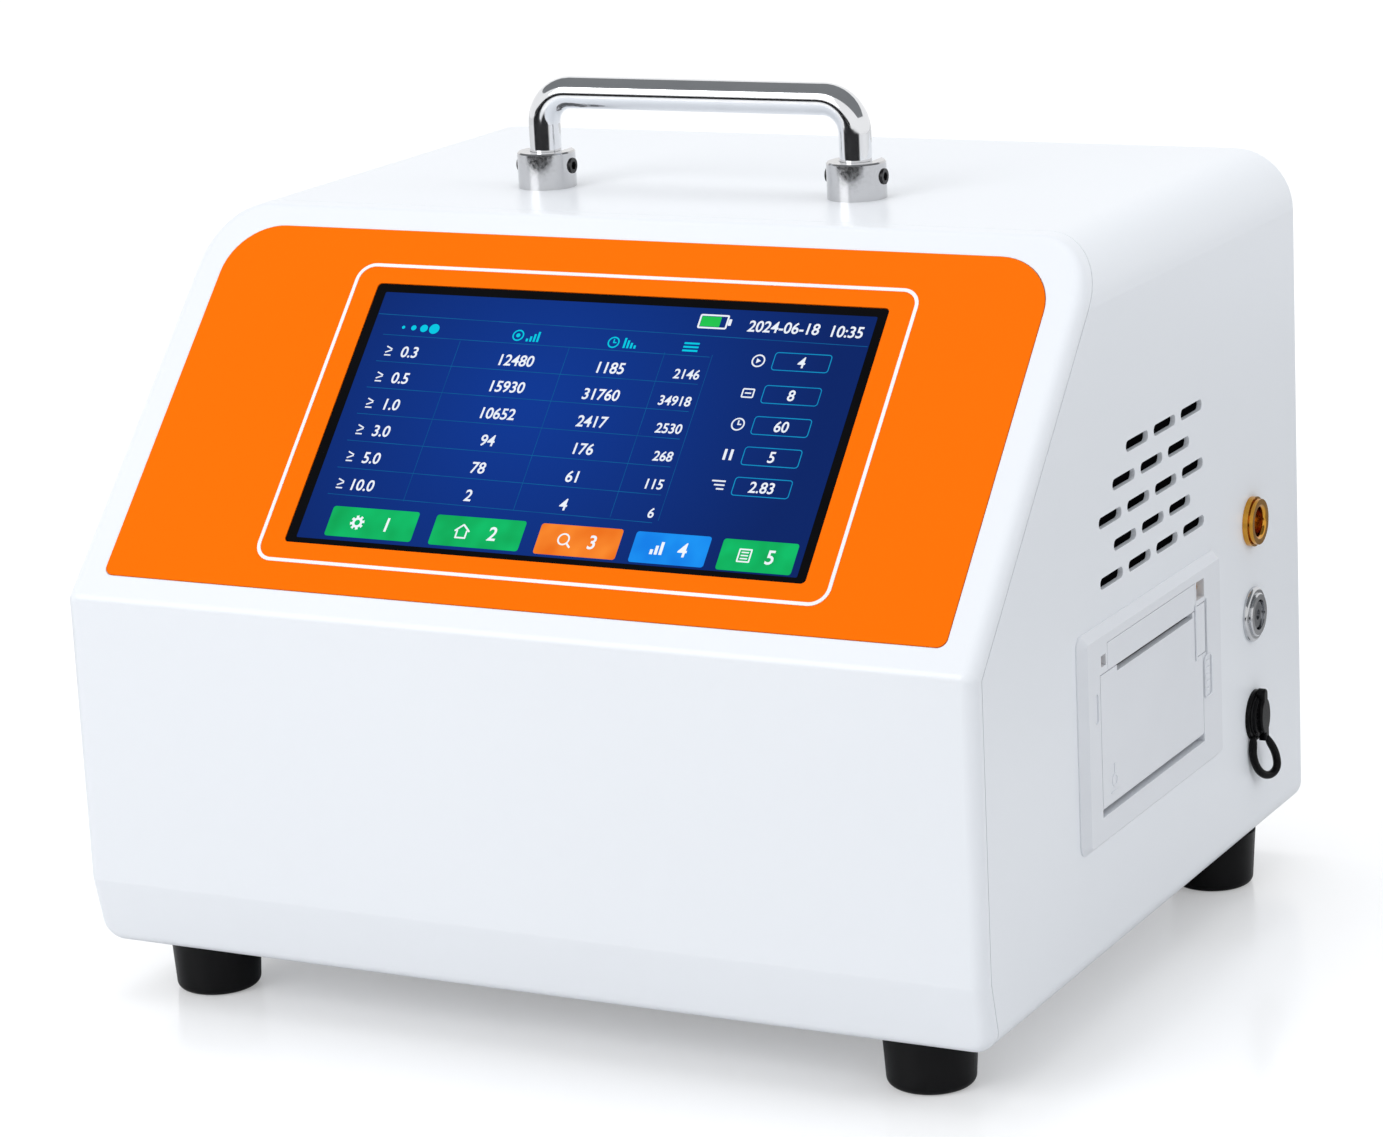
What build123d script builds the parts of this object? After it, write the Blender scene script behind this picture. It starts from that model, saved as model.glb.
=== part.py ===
from build123d import *
import math
import os

# Airborne particle counter: bench instrument with a sloped display face.
# Frame: +Z up, the floor is Z = 0, the front looks along -Y, the side with the
# sampling inlet and the printer looks along +X. Millimetres.

# ---------------------------------------------------------------- housing
housing_width = 300.0
housing_depth = 258.0
housing_height = 215.0
belt_rise = 111.0            # underside to the fold between front and display face
slope_run = 98.0             # how far the display face leans back
chin_rise = 21.0             # bevel along the bottom of the front
chin_run = 5.0
top_corner_radius = 19.0
bottom_corner_radius = 7.0
edge_radius = 4.0
wall = 3.0
front_lip = 5.0              # side wall that belongs to the front shell
seam = 0.3                   # visible line between front shell and cover
tongue_thickness = 2.0
tongue_reach = 8.0
fit_gap = 0.2                # clearance round parts that drop into an opening
rear_edge_chamfer = 0.6

# ---------------------------------------------------------------- feet
foot_height = 17.8
foot_top_radius = 14.0
foot_bottom_radius = 12.9
foot_edge_radius = 2.5
foot_front_side_inset = 28.5  # housing side to the axes of the front feet
foot_rear_side_inset = 17.0
foot_front_inset = 25.0       # housing front to foot axis
foot_rear_inset = 38.0
foot_counterbore_radius = 5.5
foot_counterbore_depth = 9.0
foot_screw_radius = 2.5
foot_screw_head_radius = 4.5
foot_screw_head_height = 3.0
foot_screw_socket_flats = 4.0
foot_screw_socket_depth = 1.8
screw_gap = 0.15             # clearance round a screw shank

# ---------------------------------------------------------------- handle
handle_offset = -3.6         # handle centre, sideways from the housing centre
handle_setback = 146.5       # housing front to the plane of the handle
handle_pitch = 108.0
handle_bar_radius = 5.0
handle_bend_radius = 10.0
handle_height = 35.0
handle_base_radius = 9.2
handle_base_height = 11.4
handle_base_chamfer = 0.5
handle_pivot_rise = 6.8
handle_slot_gap = 0.3
handle_pin_radius = 2.0
pin_running_gap = 0.05
handle_pin_head_radius = 2.4
handle_pin_head_proud = 0.5
handle_pin_head_depth = 0.8
handle_head_gap = 0.15
handle_pin_socket_flats = 2.5
handle_pin_socket_depth = 1.2
handle_stud_radius = 2.5
handle_stud_length = 9.0
handle_nut_flats = 8.0
handle_nut_height = 4.0

# ---------------------------------------------------------------- display face
panel_width = 278.0
panel_height = 126.5
panel_from_belt = 8.5
panel_top_radius = 18.0
panel_bottom_radius = 3.0
panel_thickness = 1.0
panel_recess = 0.8
line_width = 1.1
line_proud = 0.2
line_length = 189.5
line_rise = 105.0
line_radius = 6.0
screen_offset = 5.5          # display centre, sideways from the housing centre
screen_from_belt = 70.2
glass_width = 172.0
glass_height = 91.0
glass_radius = 1.5
module_rim = 3.0             # display module beyond the glass
module_thickness = 7.0
module_edge = 1.0
clamp_width = 10.0
clamp_thickness = 2.0
clamp_spread = 35.0
clamp_boss_radius = 4.5
clamp_boss_margin = 8.5
clamp_screw_radius = 1.5
clamp_screw_head_radius = 2.8
clamp_screw_head_height = 1.8
clamp_screw_length = 7.0

# ---------------------------------------------------------------- rear panel
rear_screw_radius = 1.5
rear_screw_head_radius = 2.9
rear_screw_length = 10.0
rear_screw_socket_flats = 2.0
rear_screw_socket_depth = 1.2
rear_lug_width = 12.0
rear_lug_depth = 12.0
rear_lug_from_edge = 40.0

# ---------------------------------------------------------------- vent slots
vent_rows = 5
vent_row_pitch = 9.0
vent_pitch = 22.0
vent_length = 17.5
vent_height = 3.4
vent_rear_from_front = 165.5  # housing front to the rearmost slot's centre
vent_low_rise = 114.5        # underside to the lowest row
vent_long_row = 4
vent_short_row = 3
vent_skin = 1.6              # wall left in the pocket behind the slots
vent_pocket_margin = 4.0
vent_pocket_radius = 3.0

# ---------------------------------------------------------------- side fittings
fitting_inset = 43.0         # housing rear to the row of fittings
inlet_rise = 104.2
switch_rise = 74.0
port_rise = 41.0
inlet_flange_radius = 7.9
inlet_flange_thickness = 1.7
inlet_groove_width = 0.4
inlet_groove_depth = 0.6
inlet_nose_radius = 7.2
inlet_nose_length = 1.1
inlet_bore_radius = 4.5
inlet_mouth_radius = 1.2
inlet_barrel_radius = 6.0
inlet_barrel_length = 13.0
inlet_barb_radius = 4.4
inlet_barb_length = 11.0
inlet_throat_radius = 3.0
barrel_gap = 0.2
nut_thickness = 3.5
switch_flange_radius = 8.8
switch_flange_thickness = 1.6
switch_dome = 1.2
switch_ring_radius = 6.9
switch_ring_thickness = 0.8
switch_barrel_radius = 6.0
switch_barrel_length = 20.0
switch_bore_radius = 4.8
switch_button_radius = 4.5
switch_button_length = 12.0
switch_button_sunk = 0.6
switch_led_radius = 1.6
switch_led_depth = 0.5
switch_floor = 4.0
switch_edge = 0.4
port_ring_radius = 8.2
port_ring_thickness = 1.3
port_lip_radius = 6.6
port_lip_thickness = 0.4
port_barrel_radius = 5.4
port_barrel_length = 15.0
port_bore_radius = 3.9
port_bore_depth = 11.0
port_pin_radius = 1.0
port_pin_gap = 0.5            # contact tip to the cap's plug
cap_plug_radius = 3.6
cap_plug_length = 7.0
cap_disc_radius = 6.5
cap_disc_thickness = 1.1
cap_disc_edge = 0.4
cap_grip_edge = 0.6
cap_grip_height = 11.6
cap_grip_width = 8.0
cap_grip_thickness = 1.3
cap_ear_width = 3.6
cap_ear_rise = 8.8
cap_lug_width = 3.0
cap_lug_drop = 8.2
tether_radius = 1.2
tether_angle = 70.0          # plane of the loop, turned from +X to +Y
tether_root_out = 1.45
tether_root_forward = 5.0
tether_top = 6.4             # port axis down to the loop's root
tether_side_shift = 0.7      # the loop's near side, where it leaves the vertical
tether_side_drop = 14.0
tether_low_place = 7.0       # the loop's lowest point
tether_drop = 19.8
tether_span = 11.7           # the loop's farthest point
tether_span_drop = 16.4
tether_end_place = 6.4       # the loop's end, under the cap's lug
tether_end_gap = 0.5

# ---------------------------------------------------------------- printer
printer_from_front = 126.3   # housing front to the bezel's centre
printer_rise = 70.5
bezel_width = 111.0
bezel_height = 66.0
bezel_radius = 3.5
bezel_proud = 2.8
bezel_bevel = 2.4
collar_margin = 4.0          # bezel rim beyond the opening in the cover
collar_depth = 5.0           # inward from the cover's outer face
door_left = 44.0             # from the bezel's centre to the door's edges
door_right = 37.5
door_top = 19.2
door_thickness = 2.2
door_gap = 0.3
door_hinge_drop = 20.2       # bezel centre down to the hinge axis
door_hinge_out = 1.0
door_hinge_radius = 1.8
door_pin_radius = 1.0
door_pin_seat = 3.0
slot_left = 31.2
slot_right = 29.6
slot_height = 1.7
lever_left = 32.2            # bezel centre to the near edge of the release button
lever_width = 7.6
lever_bottom = 4.6
lever_height = 15.6
lever_stem_length = 6.0
lever_stem_width = 4.0
strip_left = 38.2
strip_right = 32.0
strip_height = 8.2
strip_thickness = 1.9
window_right_left = 33.2
window_right_width = 6.4
window_right_bottom = 22.0
window_right_height = 5.8
window_left_left = 43.2
window_left_width = 3.6
window_left_bottom = 21.6
window_left_height = 3.4
shaft_radius = 2.0
shaft_rise = 24.8
shaft_back = 1.4
shaft_seat = 3.0
opening_drop = 23.5
well_wall = 2.0
well_depth = 42.0
platen_radius = 4.0
platen_shaft_radius = 1.5
platen_rise = 13.4
platen_back = 4.6
platen_left = 31.2
platen_right = 28.6
platen_end_gap = 0.4
platen_ear_thickness = 2.0
platen_ear_radius = 3.2
head_gap = 0.3
head_thickness = 5.0
head_below = 5.0
head_bracket_thickness = 2.0
roll_radius = 17.0
roll_core_radius = 6.0
roll_width = 57.5
roll_back = 26.0
roll_rest_gap = 0.05
grip_rib_count = 5
grip_rib_pitch = 2.2
grip_rib_width = 3.4
grip_rib_height = 1.0
grip_rib_proud = 0.3
grip_rib_from_edge = 3.6
dimple_left = 47.0            # bezel centre to the finger mark on the bezel's frame
dimple_rise = 10.1
dimple_width = 2.6
dimple_height = 9.0
dimple_depth = 0.5

# ---------------------------------------------------------------- inside
chassis_thickness = 2.0
chassis_front_gap = 14.5
chassis_side_gap = 1.0
chassis_rear_gap = 0.5
pem_radius = 5.0
pem_height = 5.0
board_width = 110.0
board_depth = 90.0
board_thickness = 1.6
board_standoff = 6.0
board_standoff_radius = 3.5
board_hole_inset = 5.0
board_battery_gap = 10.0      # battery to the edge of the main board
board_from_front = 62.0
heat_sink_size = 26.0
connector_width = 40.0
connector_depth = 8.0
connector_height = 9.0
battery_width = 68.0
battery_depth = 112.0
battery_height = 42.0
battery_side_gap = 22.0
battery_from_front = 129.0
battery_edge = 4.0
strap_thickness = 1.5
strap_width = 16.0
strap_foot = 10.0
sensor_width = 52.0
sensor_depth = 46.0
sensor_height = 36.0
sensor_side_gap = 62.0
laser_radius = 8.0
laser_length = 26.0
nozzle_radius = 4.4
nozzle_length = 9.0
tube_wall = 1.5
tube_gap = 0.1
tube_bend_radius = 16.0
tube_overlap = 7.0
pump_head_width = 26.0
pump_head_depth = 34.0
pump_head_height = 38.0
pump_spacing = 40.0
pump_motor_radius = 14.0
pump_motor_length = 42.0
pump_port_rise = 20.0

# ---------------------------------------------------------------- datums
tether_turn = math.radians(tether_angle)
side_reach = tether_root_out + tether_span * math.cos(tether_turn) + tether_radius
x_mid = -side_reach / 2
x_right = x_mid + housing_width / 2
x_left = x_mid - housing_width / 2
y_front = -housing_depth / 2
y_rear = housing_depth / 2
z_bottom = foot_height
z_top = foot_height + housing_height
z_mid = (z_bottom + z_top) / 2
z_belt = z_bottom + belt_rise
z_chin = z_bottom + chin_rise
slope_rise = z_top - z_belt
slope_length = math.hypot(slope_run, slope_rise)
slope_dir = Vector(0, slope_run / slope_length, slope_rise / slope_length)
slope_out = Vector(0, -slope_dir.Z, slope_dir.Y)
fitting_y = y_rear - fitting_inset
inlet_z = z_bottom + inlet_rise
switch_z = z_bottom + switch_rise
port_z = z_bottom + port_rise
printer_y = y_front + printer_from_front
printer_z = z_bottom + printer_rise
collar_width = bezel_width - 2 * collar_margin
collar_height = bezel_height - 2 * collar_margin
handle_x = x_mid + handle_offset
handle_y = y_front + handle_setback
pivot_z = z_top + handle_pivot_rise
chassis_z = z_bottom + wall
floor_z = chassis_z + chassis_thickness
reach = 60.0                 # how far cutting profiles run past the housing

os.makedirs("parts", exist_ok=True)


def finish(builder, name):
    """Label a finished piece and write its STEP file."""
    builder.part.label = name
    export_step(builder.part, f"parts/{name}.step")


def side_plane(y, z, out=0.0):
    """Plane parallel to the +X side: local x runs to the rear, local y runs up."""
    return Plane(origin=(x_right + out, y, z), x_dir=(0, 1, 0), z_dir=(1, 0, 0))


def slope_plane(x, rise, out=0.0):
    """Plane parallel to the display face, rise measured up the slope from the belt."""
    belt = Vector(x, y_front, z_belt)
    return Plane(origin=belt + slope_dir * rise + slope_out * out, x_dir=(1, 0, 0), z_dir=slope_out)


def rear_plane(depth):
    """Plane parallel to the rear, depth in from it, looking along -Y."""
    return Plane(origin=(x_mid, y_rear - depth, z_mid), x_dir=(1, 0, 0), z_dir=(0, -1, 0))


def housing_block(side_inset, face_inset):
    """Solid inside the housing's outline, set in by side_inset and face_inset."""
    with BuildPart() as block:
        with BuildSketch(rear_plane(0)) as outline:
            Rectangle(housing_width - 2 * side_inset, housing_height - 2 * side_inset)
            fillet(outline.vertices().group_by(Axis.Y)[-1], radius=top_corner_radius - side_inset)
            fillet(outline.vertices().group_by(Axis.Y)[0], radius=bottom_corner_radius - side_inset)
        extrude(amount=housing_depth)
        with BuildSketch(Plane(origin=(x_left, 0, 0), x_dir=(0, 1, 0), z_dir=(1, 0, 0))):
            with BuildLine():
                Polyline(
                    (y_front + chin_run, z_bottom),
                    (y_front, z_chin),
                    (y_front, z_belt),
                    (y_front + slope_run, z_top),
                    (y_rear, z_top),
                    (y_rear, z_bottom),
                    close=True,
                )
            make_face()
            if face_inset:
                offset(amount=-face_inset, kind=Kind.INTERSECTION)
        extrude(amount=housing_width, mode=Mode.INTERSECT)
    return block.part


def behind_front(depth):
    """Everything that lies more than depth behind the front's three faces."""
    chin_lean = chin_run / chin_rise
    slope_lean = slope_run / slope_rise
    with BuildPart() as zone:
        with BuildSketch(Plane(origin=(x_left - reach, 0, 0), x_dir=(0, 1, 0), z_dir=(1, 0, 0))):
            with BuildLine():
                Polyline(
                    (y_front + chin_run + reach * chin_lean, z_bottom - reach),
                    (y_front, z_chin),
                    (y_front, z_belt),
                    (y_front + slope_run + reach * slope_lean, z_top + reach),
                    (y_rear + 2 * reach, z_top + reach),
                    (y_rear + 2 * reach, z_bottom - reach),
                    close=True,
                )
            make_face()
            offset(amount=-depth, kind=Kind.INTERSECTION)
        extrude(amount=housing_width + 2 * reach)
    return zone.part


foot_rows = [
    (foot_front_side_inset, y_front + foot_front_inset),
    (foot_rear_side_inset, y_rear - foot_rear_inset),
]
foot_places = [
    (x_mid + side * (housing_width / 2 - side_inset), y)
    for side in (-1, 1)
    for side_inset, y in foot_rows
]
lug_places = [
    (side, z)
    for side in (-1, 1)
    for z in (z_bottom + rear_lug_from_edge, z_top - rear_lug_from_edge)
]
clamp_places = [
    (screen_offset + side * (glass_width / 2 + clamp_boss_margin), end * clamp_spread)
    for side in (-1, 1)
    for end in (-1, 1)
]
handle_sides = {"left": -1, "right": 1}


def hex_socket(face, flats, depth):
    """Cut a hexagon socket into the active screw or pin, from the plane of its head."""
    with BuildPart(mode=Mode.PRIVATE) as socket:
        with BuildSketch(face):
            RegularPolygon(flats / 2, 6, major_radius=False)
        extrude(amount=-depth)
    add(socket.part, mode=Mode.SUBTRACT)


panel_centre = panel_from_belt + panel_height / 2

# ---------------------------------------------------------------- front shell
tongue_inset = wall + fit_gap
lip_inset = tongue_inset + tongue_thickness
with BuildPart() as front_shell:
    add(housing_block(0, 0))
    front_faces = front_shell.faces().filter_by(lambda f: f.normal_at().Y < -0.1)
    fillet(front_faces.edges(), radius=edge_radius)
    add(housing_block(lip_inset, wall), mode=Mode.SUBTRACT)
    add(behind_front(front_lip), mode=Mode.SUBTRACT)
    tongue = housing_block(tongue_inset, wall) - housing_block(lip_inset, wall)
    add(tongue - behind_front(front_lip + tongue_reach))
    with BuildSketch(slope_plane(x_mid, panel_centre)) as recess:
        Rectangle(panel_width + 2 * fit_gap, panel_height + 2 * fit_gap)
        fillet(recess.vertices().group_by(Axis.Y)[-1], radius=panel_top_radius)
        fillet(recess.vertices().group_by(Axis.Y)[0], radius=panel_bottom_radius)
    extrude(amount=-panel_recess, mode=Mode.SUBTRACT)
    with BuildSketch(slope_plane(x_mid, screen_from_belt)):
        with Locations((screen_offset, 0)):
            RectangleRounded(glass_width + 2 * fit_gap, glass_height + 2 * fit_gap, glass_radius)
    extrude(amount=-wall, mode=Mode.SUBTRACT)
    with BuildSketch(slope_plane(x_mid, screen_from_belt, -wall)):
        with Locations(*clamp_places):
            Circle(clamp_boss_radius)
    extrude(amount=-module_thickness)
    with BuildSketch(slope_plane(x_mid, screen_from_belt, -wall - module_thickness)):
        with Locations(*clamp_places):
            Circle(clamp_screw_radius + screw_gap)
    extrude(amount=clamp_screw_length - clamp_thickness + screw_gap, mode=Mode.SUBTRACT)
finish(front_shell, "front_shell")

# ---------------------------------------------------------------- display face
with BuildPart() as control_panel:
    with BuildSketch(slope_plane(x_mid, panel_centre, -panel_recess)) as sheet:
        Rectangle(panel_width, panel_height)
        fillet(sheet.vertices().group_by(Axis.Y)[-1], radius=panel_top_radius)
        fillet(sheet.vertices().group_by(Axis.Y)[0], radius=panel_bottom_radius)
        with Locations((screen_offset, screen_from_belt - panel_centre)):
            RectangleRounded(
                glass_width + 2 * fit_gap, glass_height + 2 * fit_gap, glass_radius, mode=Mode.SUBTRACT
            )
    extrude(amount=panel_thickness)
finish(control_panel, "control_panel")

panel_face = panel_thickness - panel_recess
with BuildPart() as panel_line:
    with BuildSketch(slope_plane(x_mid, screen_from_belt, panel_face)):
        with Locations((screen_offset, 0)):
            RectangleRounded(line_length, line_rise, line_radius)
            RectangleRounded(
                line_length - 2 * line_width,
                line_rise - 2 * line_width,
                line_radius - line_width,
                mode=Mode.SUBTRACT,
            )
    extrude(amount=line_proud)
finish(panel_line, "panel_line")

with BuildPart() as touch_glass:
    with BuildSketch(slope_plane(x_mid, screen_from_belt, -wall)):
        with Locations((screen_offset, 0)):
            RectangleRounded(glass_width, glass_height, glass_radius)
    extrude(amount=wall)
finish(touch_glass, "touch_glass")

with BuildPart() as display_module:
    with BuildSketch(slope_plane(x_mid, screen_from_belt, -wall)):
        with Locations((screen_offset, 0)):
            Rectangle(glass_width + 2 * module_rim - 2 * fit_gap, glass_height + 2 * module_rim)
    extrude(amount=-module_thickness)
    back_face = display_module.faces().sort_by(Axis(origin=(0, 0, 0), direction=slope_out))[0]
    chamfer(back_face.edges(), length=module_edge)
finish(display_module, "display_module")

clamp_length = glass_width + 2 * clamp_boss_margin + 2 * clamp_boss_radius
clamp_back = -wall - module_thickness - clamp_thickness
for end, place in (("lower", -clamp_spread), ("upper", clamp_spread)):
    with BuildPart() as display_clamp:
        with BuildSketch(slope_plane(x_mid, screen_from_belt + place, clamp_back)):
            with Locations((screen_offset, 0)):
                Rectangle(clamp_length, clamp_width)
                with GridLocations(glass_width + 2 * clamp_boss_margin, 0, 2, 1):
                    Circle(clamp_screw_radius + screw_gap, mode=Mode.SUBTRACT)
        extrude(amount=clamp_thickness)
    finish(display_clamp, f"display_clamp_{end}")

for number, (across, up) in enumerate(clamp_places, start=1):
    with BuildPart() as clamp_screw:
        with BuildSketch(slope_plane(x_mid + across, screen_from_belt + up, clamp_back)):
            Circle(clamp_screw_head_radius)
        extrude(amount=-clamp_screw_head_height)
        with BuildSketch(slope_plane(x_mid + across, screen_from_belt + up, clamp_back)):
            Circle(clamp_screw_radius)
        extrude(amount=clamp_screw_length)
    finish(clamp_screw, f"clamp_screw_{number}")

# ---------------------------------------------------------------- wrap-round cover
vent_places = []
for row in range(vent_rows):
    long_row = row % 2 == 0
    count = vent_long_row if long_row else vent_short_row
    if row == vent_rows - 1:
        count = vent_short_row
    rear_slot = vent_rear_from_front - (0 if long_row else vent_pitch / 2)
    for slot in range(count):
        slot_y = y_front + rear_slot - slot * vent_pitch
        vent_places.append((slot_y, vent_low_rise + row * vent_row_pitch))

pocket_rear = max(slot_y for slot_y, rise in vent_places) + vent_length / 2 + vent_pocket_margin
pocket_front = min(slot_y for slot_y, rise in vent_places) - vent_length / 2 - vent_pocket_margin
pocket_y = (pocket_front + pocket_rear) / 2
pocket_length = pocket_rear - pocket_front
pocket_rise = vent_low_rise + (vent_rows - 1) * vent_row_pitch / 2
pocket_height = (vent_rows - 1) * vent_row_pitch + vent_height + 2 * vent_pocket_margin

with BuildPart() as wrap_cover:
    with BuildSketch(rear_plane(0)) as tube_profile:
        Rectangle(housing_width, housing_height)
        fillet(tube_profile.vertices().group_by(Axis.Y)[-1], radius=top_corner_radius)
        fillet(tube_profile.vertices().group_by(Axis.Y)[0], radius=bottom_corner_radius)
        offset(amount=-wall, mode=Mode.SUBTRACT)
    extrude(amount=housing_depth)
    add(behind_front(front_lip + seam), mode=Mode.INTERSECT)
    rear_edges = wrap_cover.faces().sort_by(Axis.Y)[-1].outer_wire().edges()
    chamfer(rear_edges, length=rear_edge_chamfer)
    for side, z in lug_places:
        lug_x = x_mid + side * (housing_width / 2 - wall - rear_lug_width / 2)
        with BuildSketch(Plane(origin=(lug_x, y_rear - wall, z), x_dir=(1, 0, 0), z_dir=(0, -1, 0))):
            Rectangle(rear_lug_width, rear_lug_width)
        extrude(amount=rear_lug_depth)
        with BuildSketch(Plane(origin=(lug_x, y_rear - wall, z), x_dir=(1, 0, 0), z_dir=(0, -1, 0))):
            Circle(rear_screw_radius + screw_gap)
        extrude(amount=rear_lug_depth - wall, mode=Mode.SUBTRACT)
    with BuildSketch(side_plane(0, z_bottom)):
        with Locations(*vent_places):
            SlotOverall(vent_length, vent_height)
    extrude(amount=-wall, mode=Mode.SUBTRACT)
    with BuildSketch(side_plane(pocket_y, z_bottom + pocket_rise, -wall)):
        RectangleRounded(pocket_length, pocket_height, vent_pocket_radius)
    extrude(amount=wall - vent_skin, mode=Mode.SUBTRACT)
    with BuildSketch(side_plane(printer_y, printer_z)):
        Rectangle(collar_width + 2 * fit_gap, collar_height + 2 * fit_gap)
    extrude(amount=-wall, mode=Mode.SUBTRACT)
    with BuildSketch(side_plane(fitting_y, inlet_z)):
        Circle(inlet_barrel_radius + barrel_gap)
    extrude(amount=-wall, mode=Mode.SUBTRACT)
    with BuildSketch(side_plane(fitting_y, switch_z)):
        Circle(switch_barrel_radius + barrel_gap)
    extrude(amount=-wall, mode=Mode.SUBTRACT)
    with BuildSketch(side_plane(fitting_y, port_z)):
        Circle(port_barrel_radius + barrel_gap)
    extrude(amount=-wall, mode=Mode.SUBTRACT)
    with BuildSketch(Plane(origin=(handle_x, handle_y, z_top), x_dir=(1, 0, 0), z_dir=(0, 0, 1))):
        with GridLocations(handle_pitch, 0, 2, 1):
            Circle(handle_stud_radius + screw_gap)
    extrude(amount=-wall, mode=Mode.SUBTRACT)
    with BuildSketch(Plane.XY.offset(z_bottom)):
        with Locations(*foot_places):
            Circle(foot_screw_radius + screw_gap)
    extrude(amount=wall, mode=Mode.SUBTRACT)
finish(wrap_cover, "wrap_cover")

# ---------------------------------------------------------------- rear panel
with BuildPart() as rear_panel:
    with BuildSketch(rear_plane(0)) as panel_profile:
        Rectangle(housing_width - 2 * wall - 2 * fit_gap, housing_height - 2 * wall - 2 * fit_gap)
        fillet(panel_profile.vertices().group_by(Axis.Y)[-1], radius=top_corner_radius - wall - fit_gap)
        fillet(panel_profile.vertices().group_by(Axis.Y)[0], radius=bottom_corner_radius - wall - fit_gap)
    extrude(amount=wall)
    for side, z in lug_places:
        lug_x = x_mid + side * (housing_width / 2 - wall - rear_lug_width / 2)
        with Locations(Plane(origin=(lug_x, y_rear, z), x_dir=(1, 0, 0), z_dir=(0, 1, 0))):
            CounterSinkHole(rear_screw_radius + screw_gap, rear_screw_head_radius + screw_gap, wall)
finish(rear_panel, "rear_panel")

for number, (side, z) in enumerate(lug_places, start=1):
    lug_x = x_mid + side * (housing_width / 2 - wall - rear_lug_width / 2)
    with BuildPart() as rear_screw:
        with BuildSketch(Plane(origin=(lug_x, y_rear, z), x_dir=(1, 0, 0), z_dir=(0, -1, 0))):
            Circle(rear_screw_head_radius)
        extrude(amount=rear_screw_head_radius - rear_screw_radius, taper=45)
        with BuildSketch(Plane(origin=(lug_x, y_rear, z), x_dir=(1, 0, 0), z_dir=(0, -1, 0))):
            Circle(rear_screw_radius)
        extrude(amount=rear_screw_length)
        head_face = Plane(origin=(lug_x, y_rear, z), x_dir=(1, 0, 0), z_dir=(0, 1, 0))
        hex_socket(head_face, rear_screw_socket_flats, rear_screw_socket_depth)
    finish(rear_screw, f"rear_screw_{number}")

# ---------------------------------------------------------------- feet
for number, (x, y) in enumerate(foot_places, start=1):
    with BuildPart() as foot:
        with BuildSketch(Plane.XZ.offset(-y)):
            with BuildLine():
                Polyline(
                    (x, 0),
                    (x + foot_bottom_radius, 0),
                    (x + foot_top_radius, foot_height),
                    (x, foot_height),
                    close=True,
                )
            make_face()
        revolve(axis=Axis(origin=(x, y, 0), direction=(0, 0, 1)))
        fillet(foot.edges().sort_by(Axis.Z)[0], radius=foot_edge_radius)
        with Locations(Plane(origin=(x, y, 0), x_dir=(1, 0, 0), z_dir=(0, 0, -1))):
            CounterBoreHole(
                foot_screw_radius + screw_gap, foot_counterbore_radius, foot_counterbore_depth, foot_height
            )
    finish(foot, f"foot_{number}")
    with BuildPart() as foot_screw:
        with BuildSketch(Plane(origin=(x, y, foot_counterbore_depth), x_dir=(1, 0, 0), z_dir=(0, 0, 1))):
            Circle(foot_screw_head_radius)
        extrude(amount=-foot_screw_head_height)
        with BuildSketch(Plane(origin=(x, y, foot_counterbore_depth), x_dir=(1, 0, 0), z_dir=(0, 0, 1))):
            Circle(foot_screw_radius)
        extrude(amount=floor_z + pem_height - foot_counterbore_depth)
        head_face = Plane(
            origin=(x, y, foot_counterbore_depth - foot_screw_head_height), x_dir=(1, 0, 0), z_dir=(0, 0, -1)
        )
        hex_socket(head_face, foot_screw_socket_flats, foot_screw_socket_depth)
    finish(foot_screw, f"foot_screw_{number}")

# ---------------------------------------------------------------- chassis plate
chassis_half = housing_width / 2 - bottom_corner_radius - chassis_side_gap
chassis_front = y_front + chin_run + chassis_front_gap
chassis_rear = y_rear - wall - chassis_rear_gap
battery_x = x_left + battery_side_gap + battery_width / 2
battery_y = y_front + battery_from_front
board_x = battery_x + battery_width / 2 + board_battery_gap + board_width / 2
board_y = y_front + board_from_front + board_depth / 2
board_holes = (board_width - 2 * board_hole_inset, board_depth - 2 * board_hole_inset)
with BuildPart() as chassis_plate:
    with BuildSketch(Plane.XY.offset(chassis_z)):
        with Locations((x_mid, (chassis_front + chassis_rear) / 2)):
            Rectangle(2 * chassis_half, chassis_rear - chassis_front)
    extrude(amount=chassis_thickness)
    with BuildSketch(Plane.XY.offset(floor_z)):
        with Locations(*foot_places):
            Circle(pem_radius)
    extrude(amount=pem_height)
    with BuildSketch(Plane.XY.offset(floor_z)):
        with Locations((board_x, board_y)):
            with GridLocations(*board_holes, 2, 2):
                Circle(board_standoff_radius)
    extrude(amount=board_standoff)
    with BuildSketch(Plane.XY.offset(chassis_z)):
        with Locations(*foot_places):
            Circle(foot_screw_radius + screw_gap)
    extrude(amount=chassis_thickness + pem_height, mode=Mode.SUBTRACT)
finish(chassis_plate, "chassis_plate")

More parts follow.
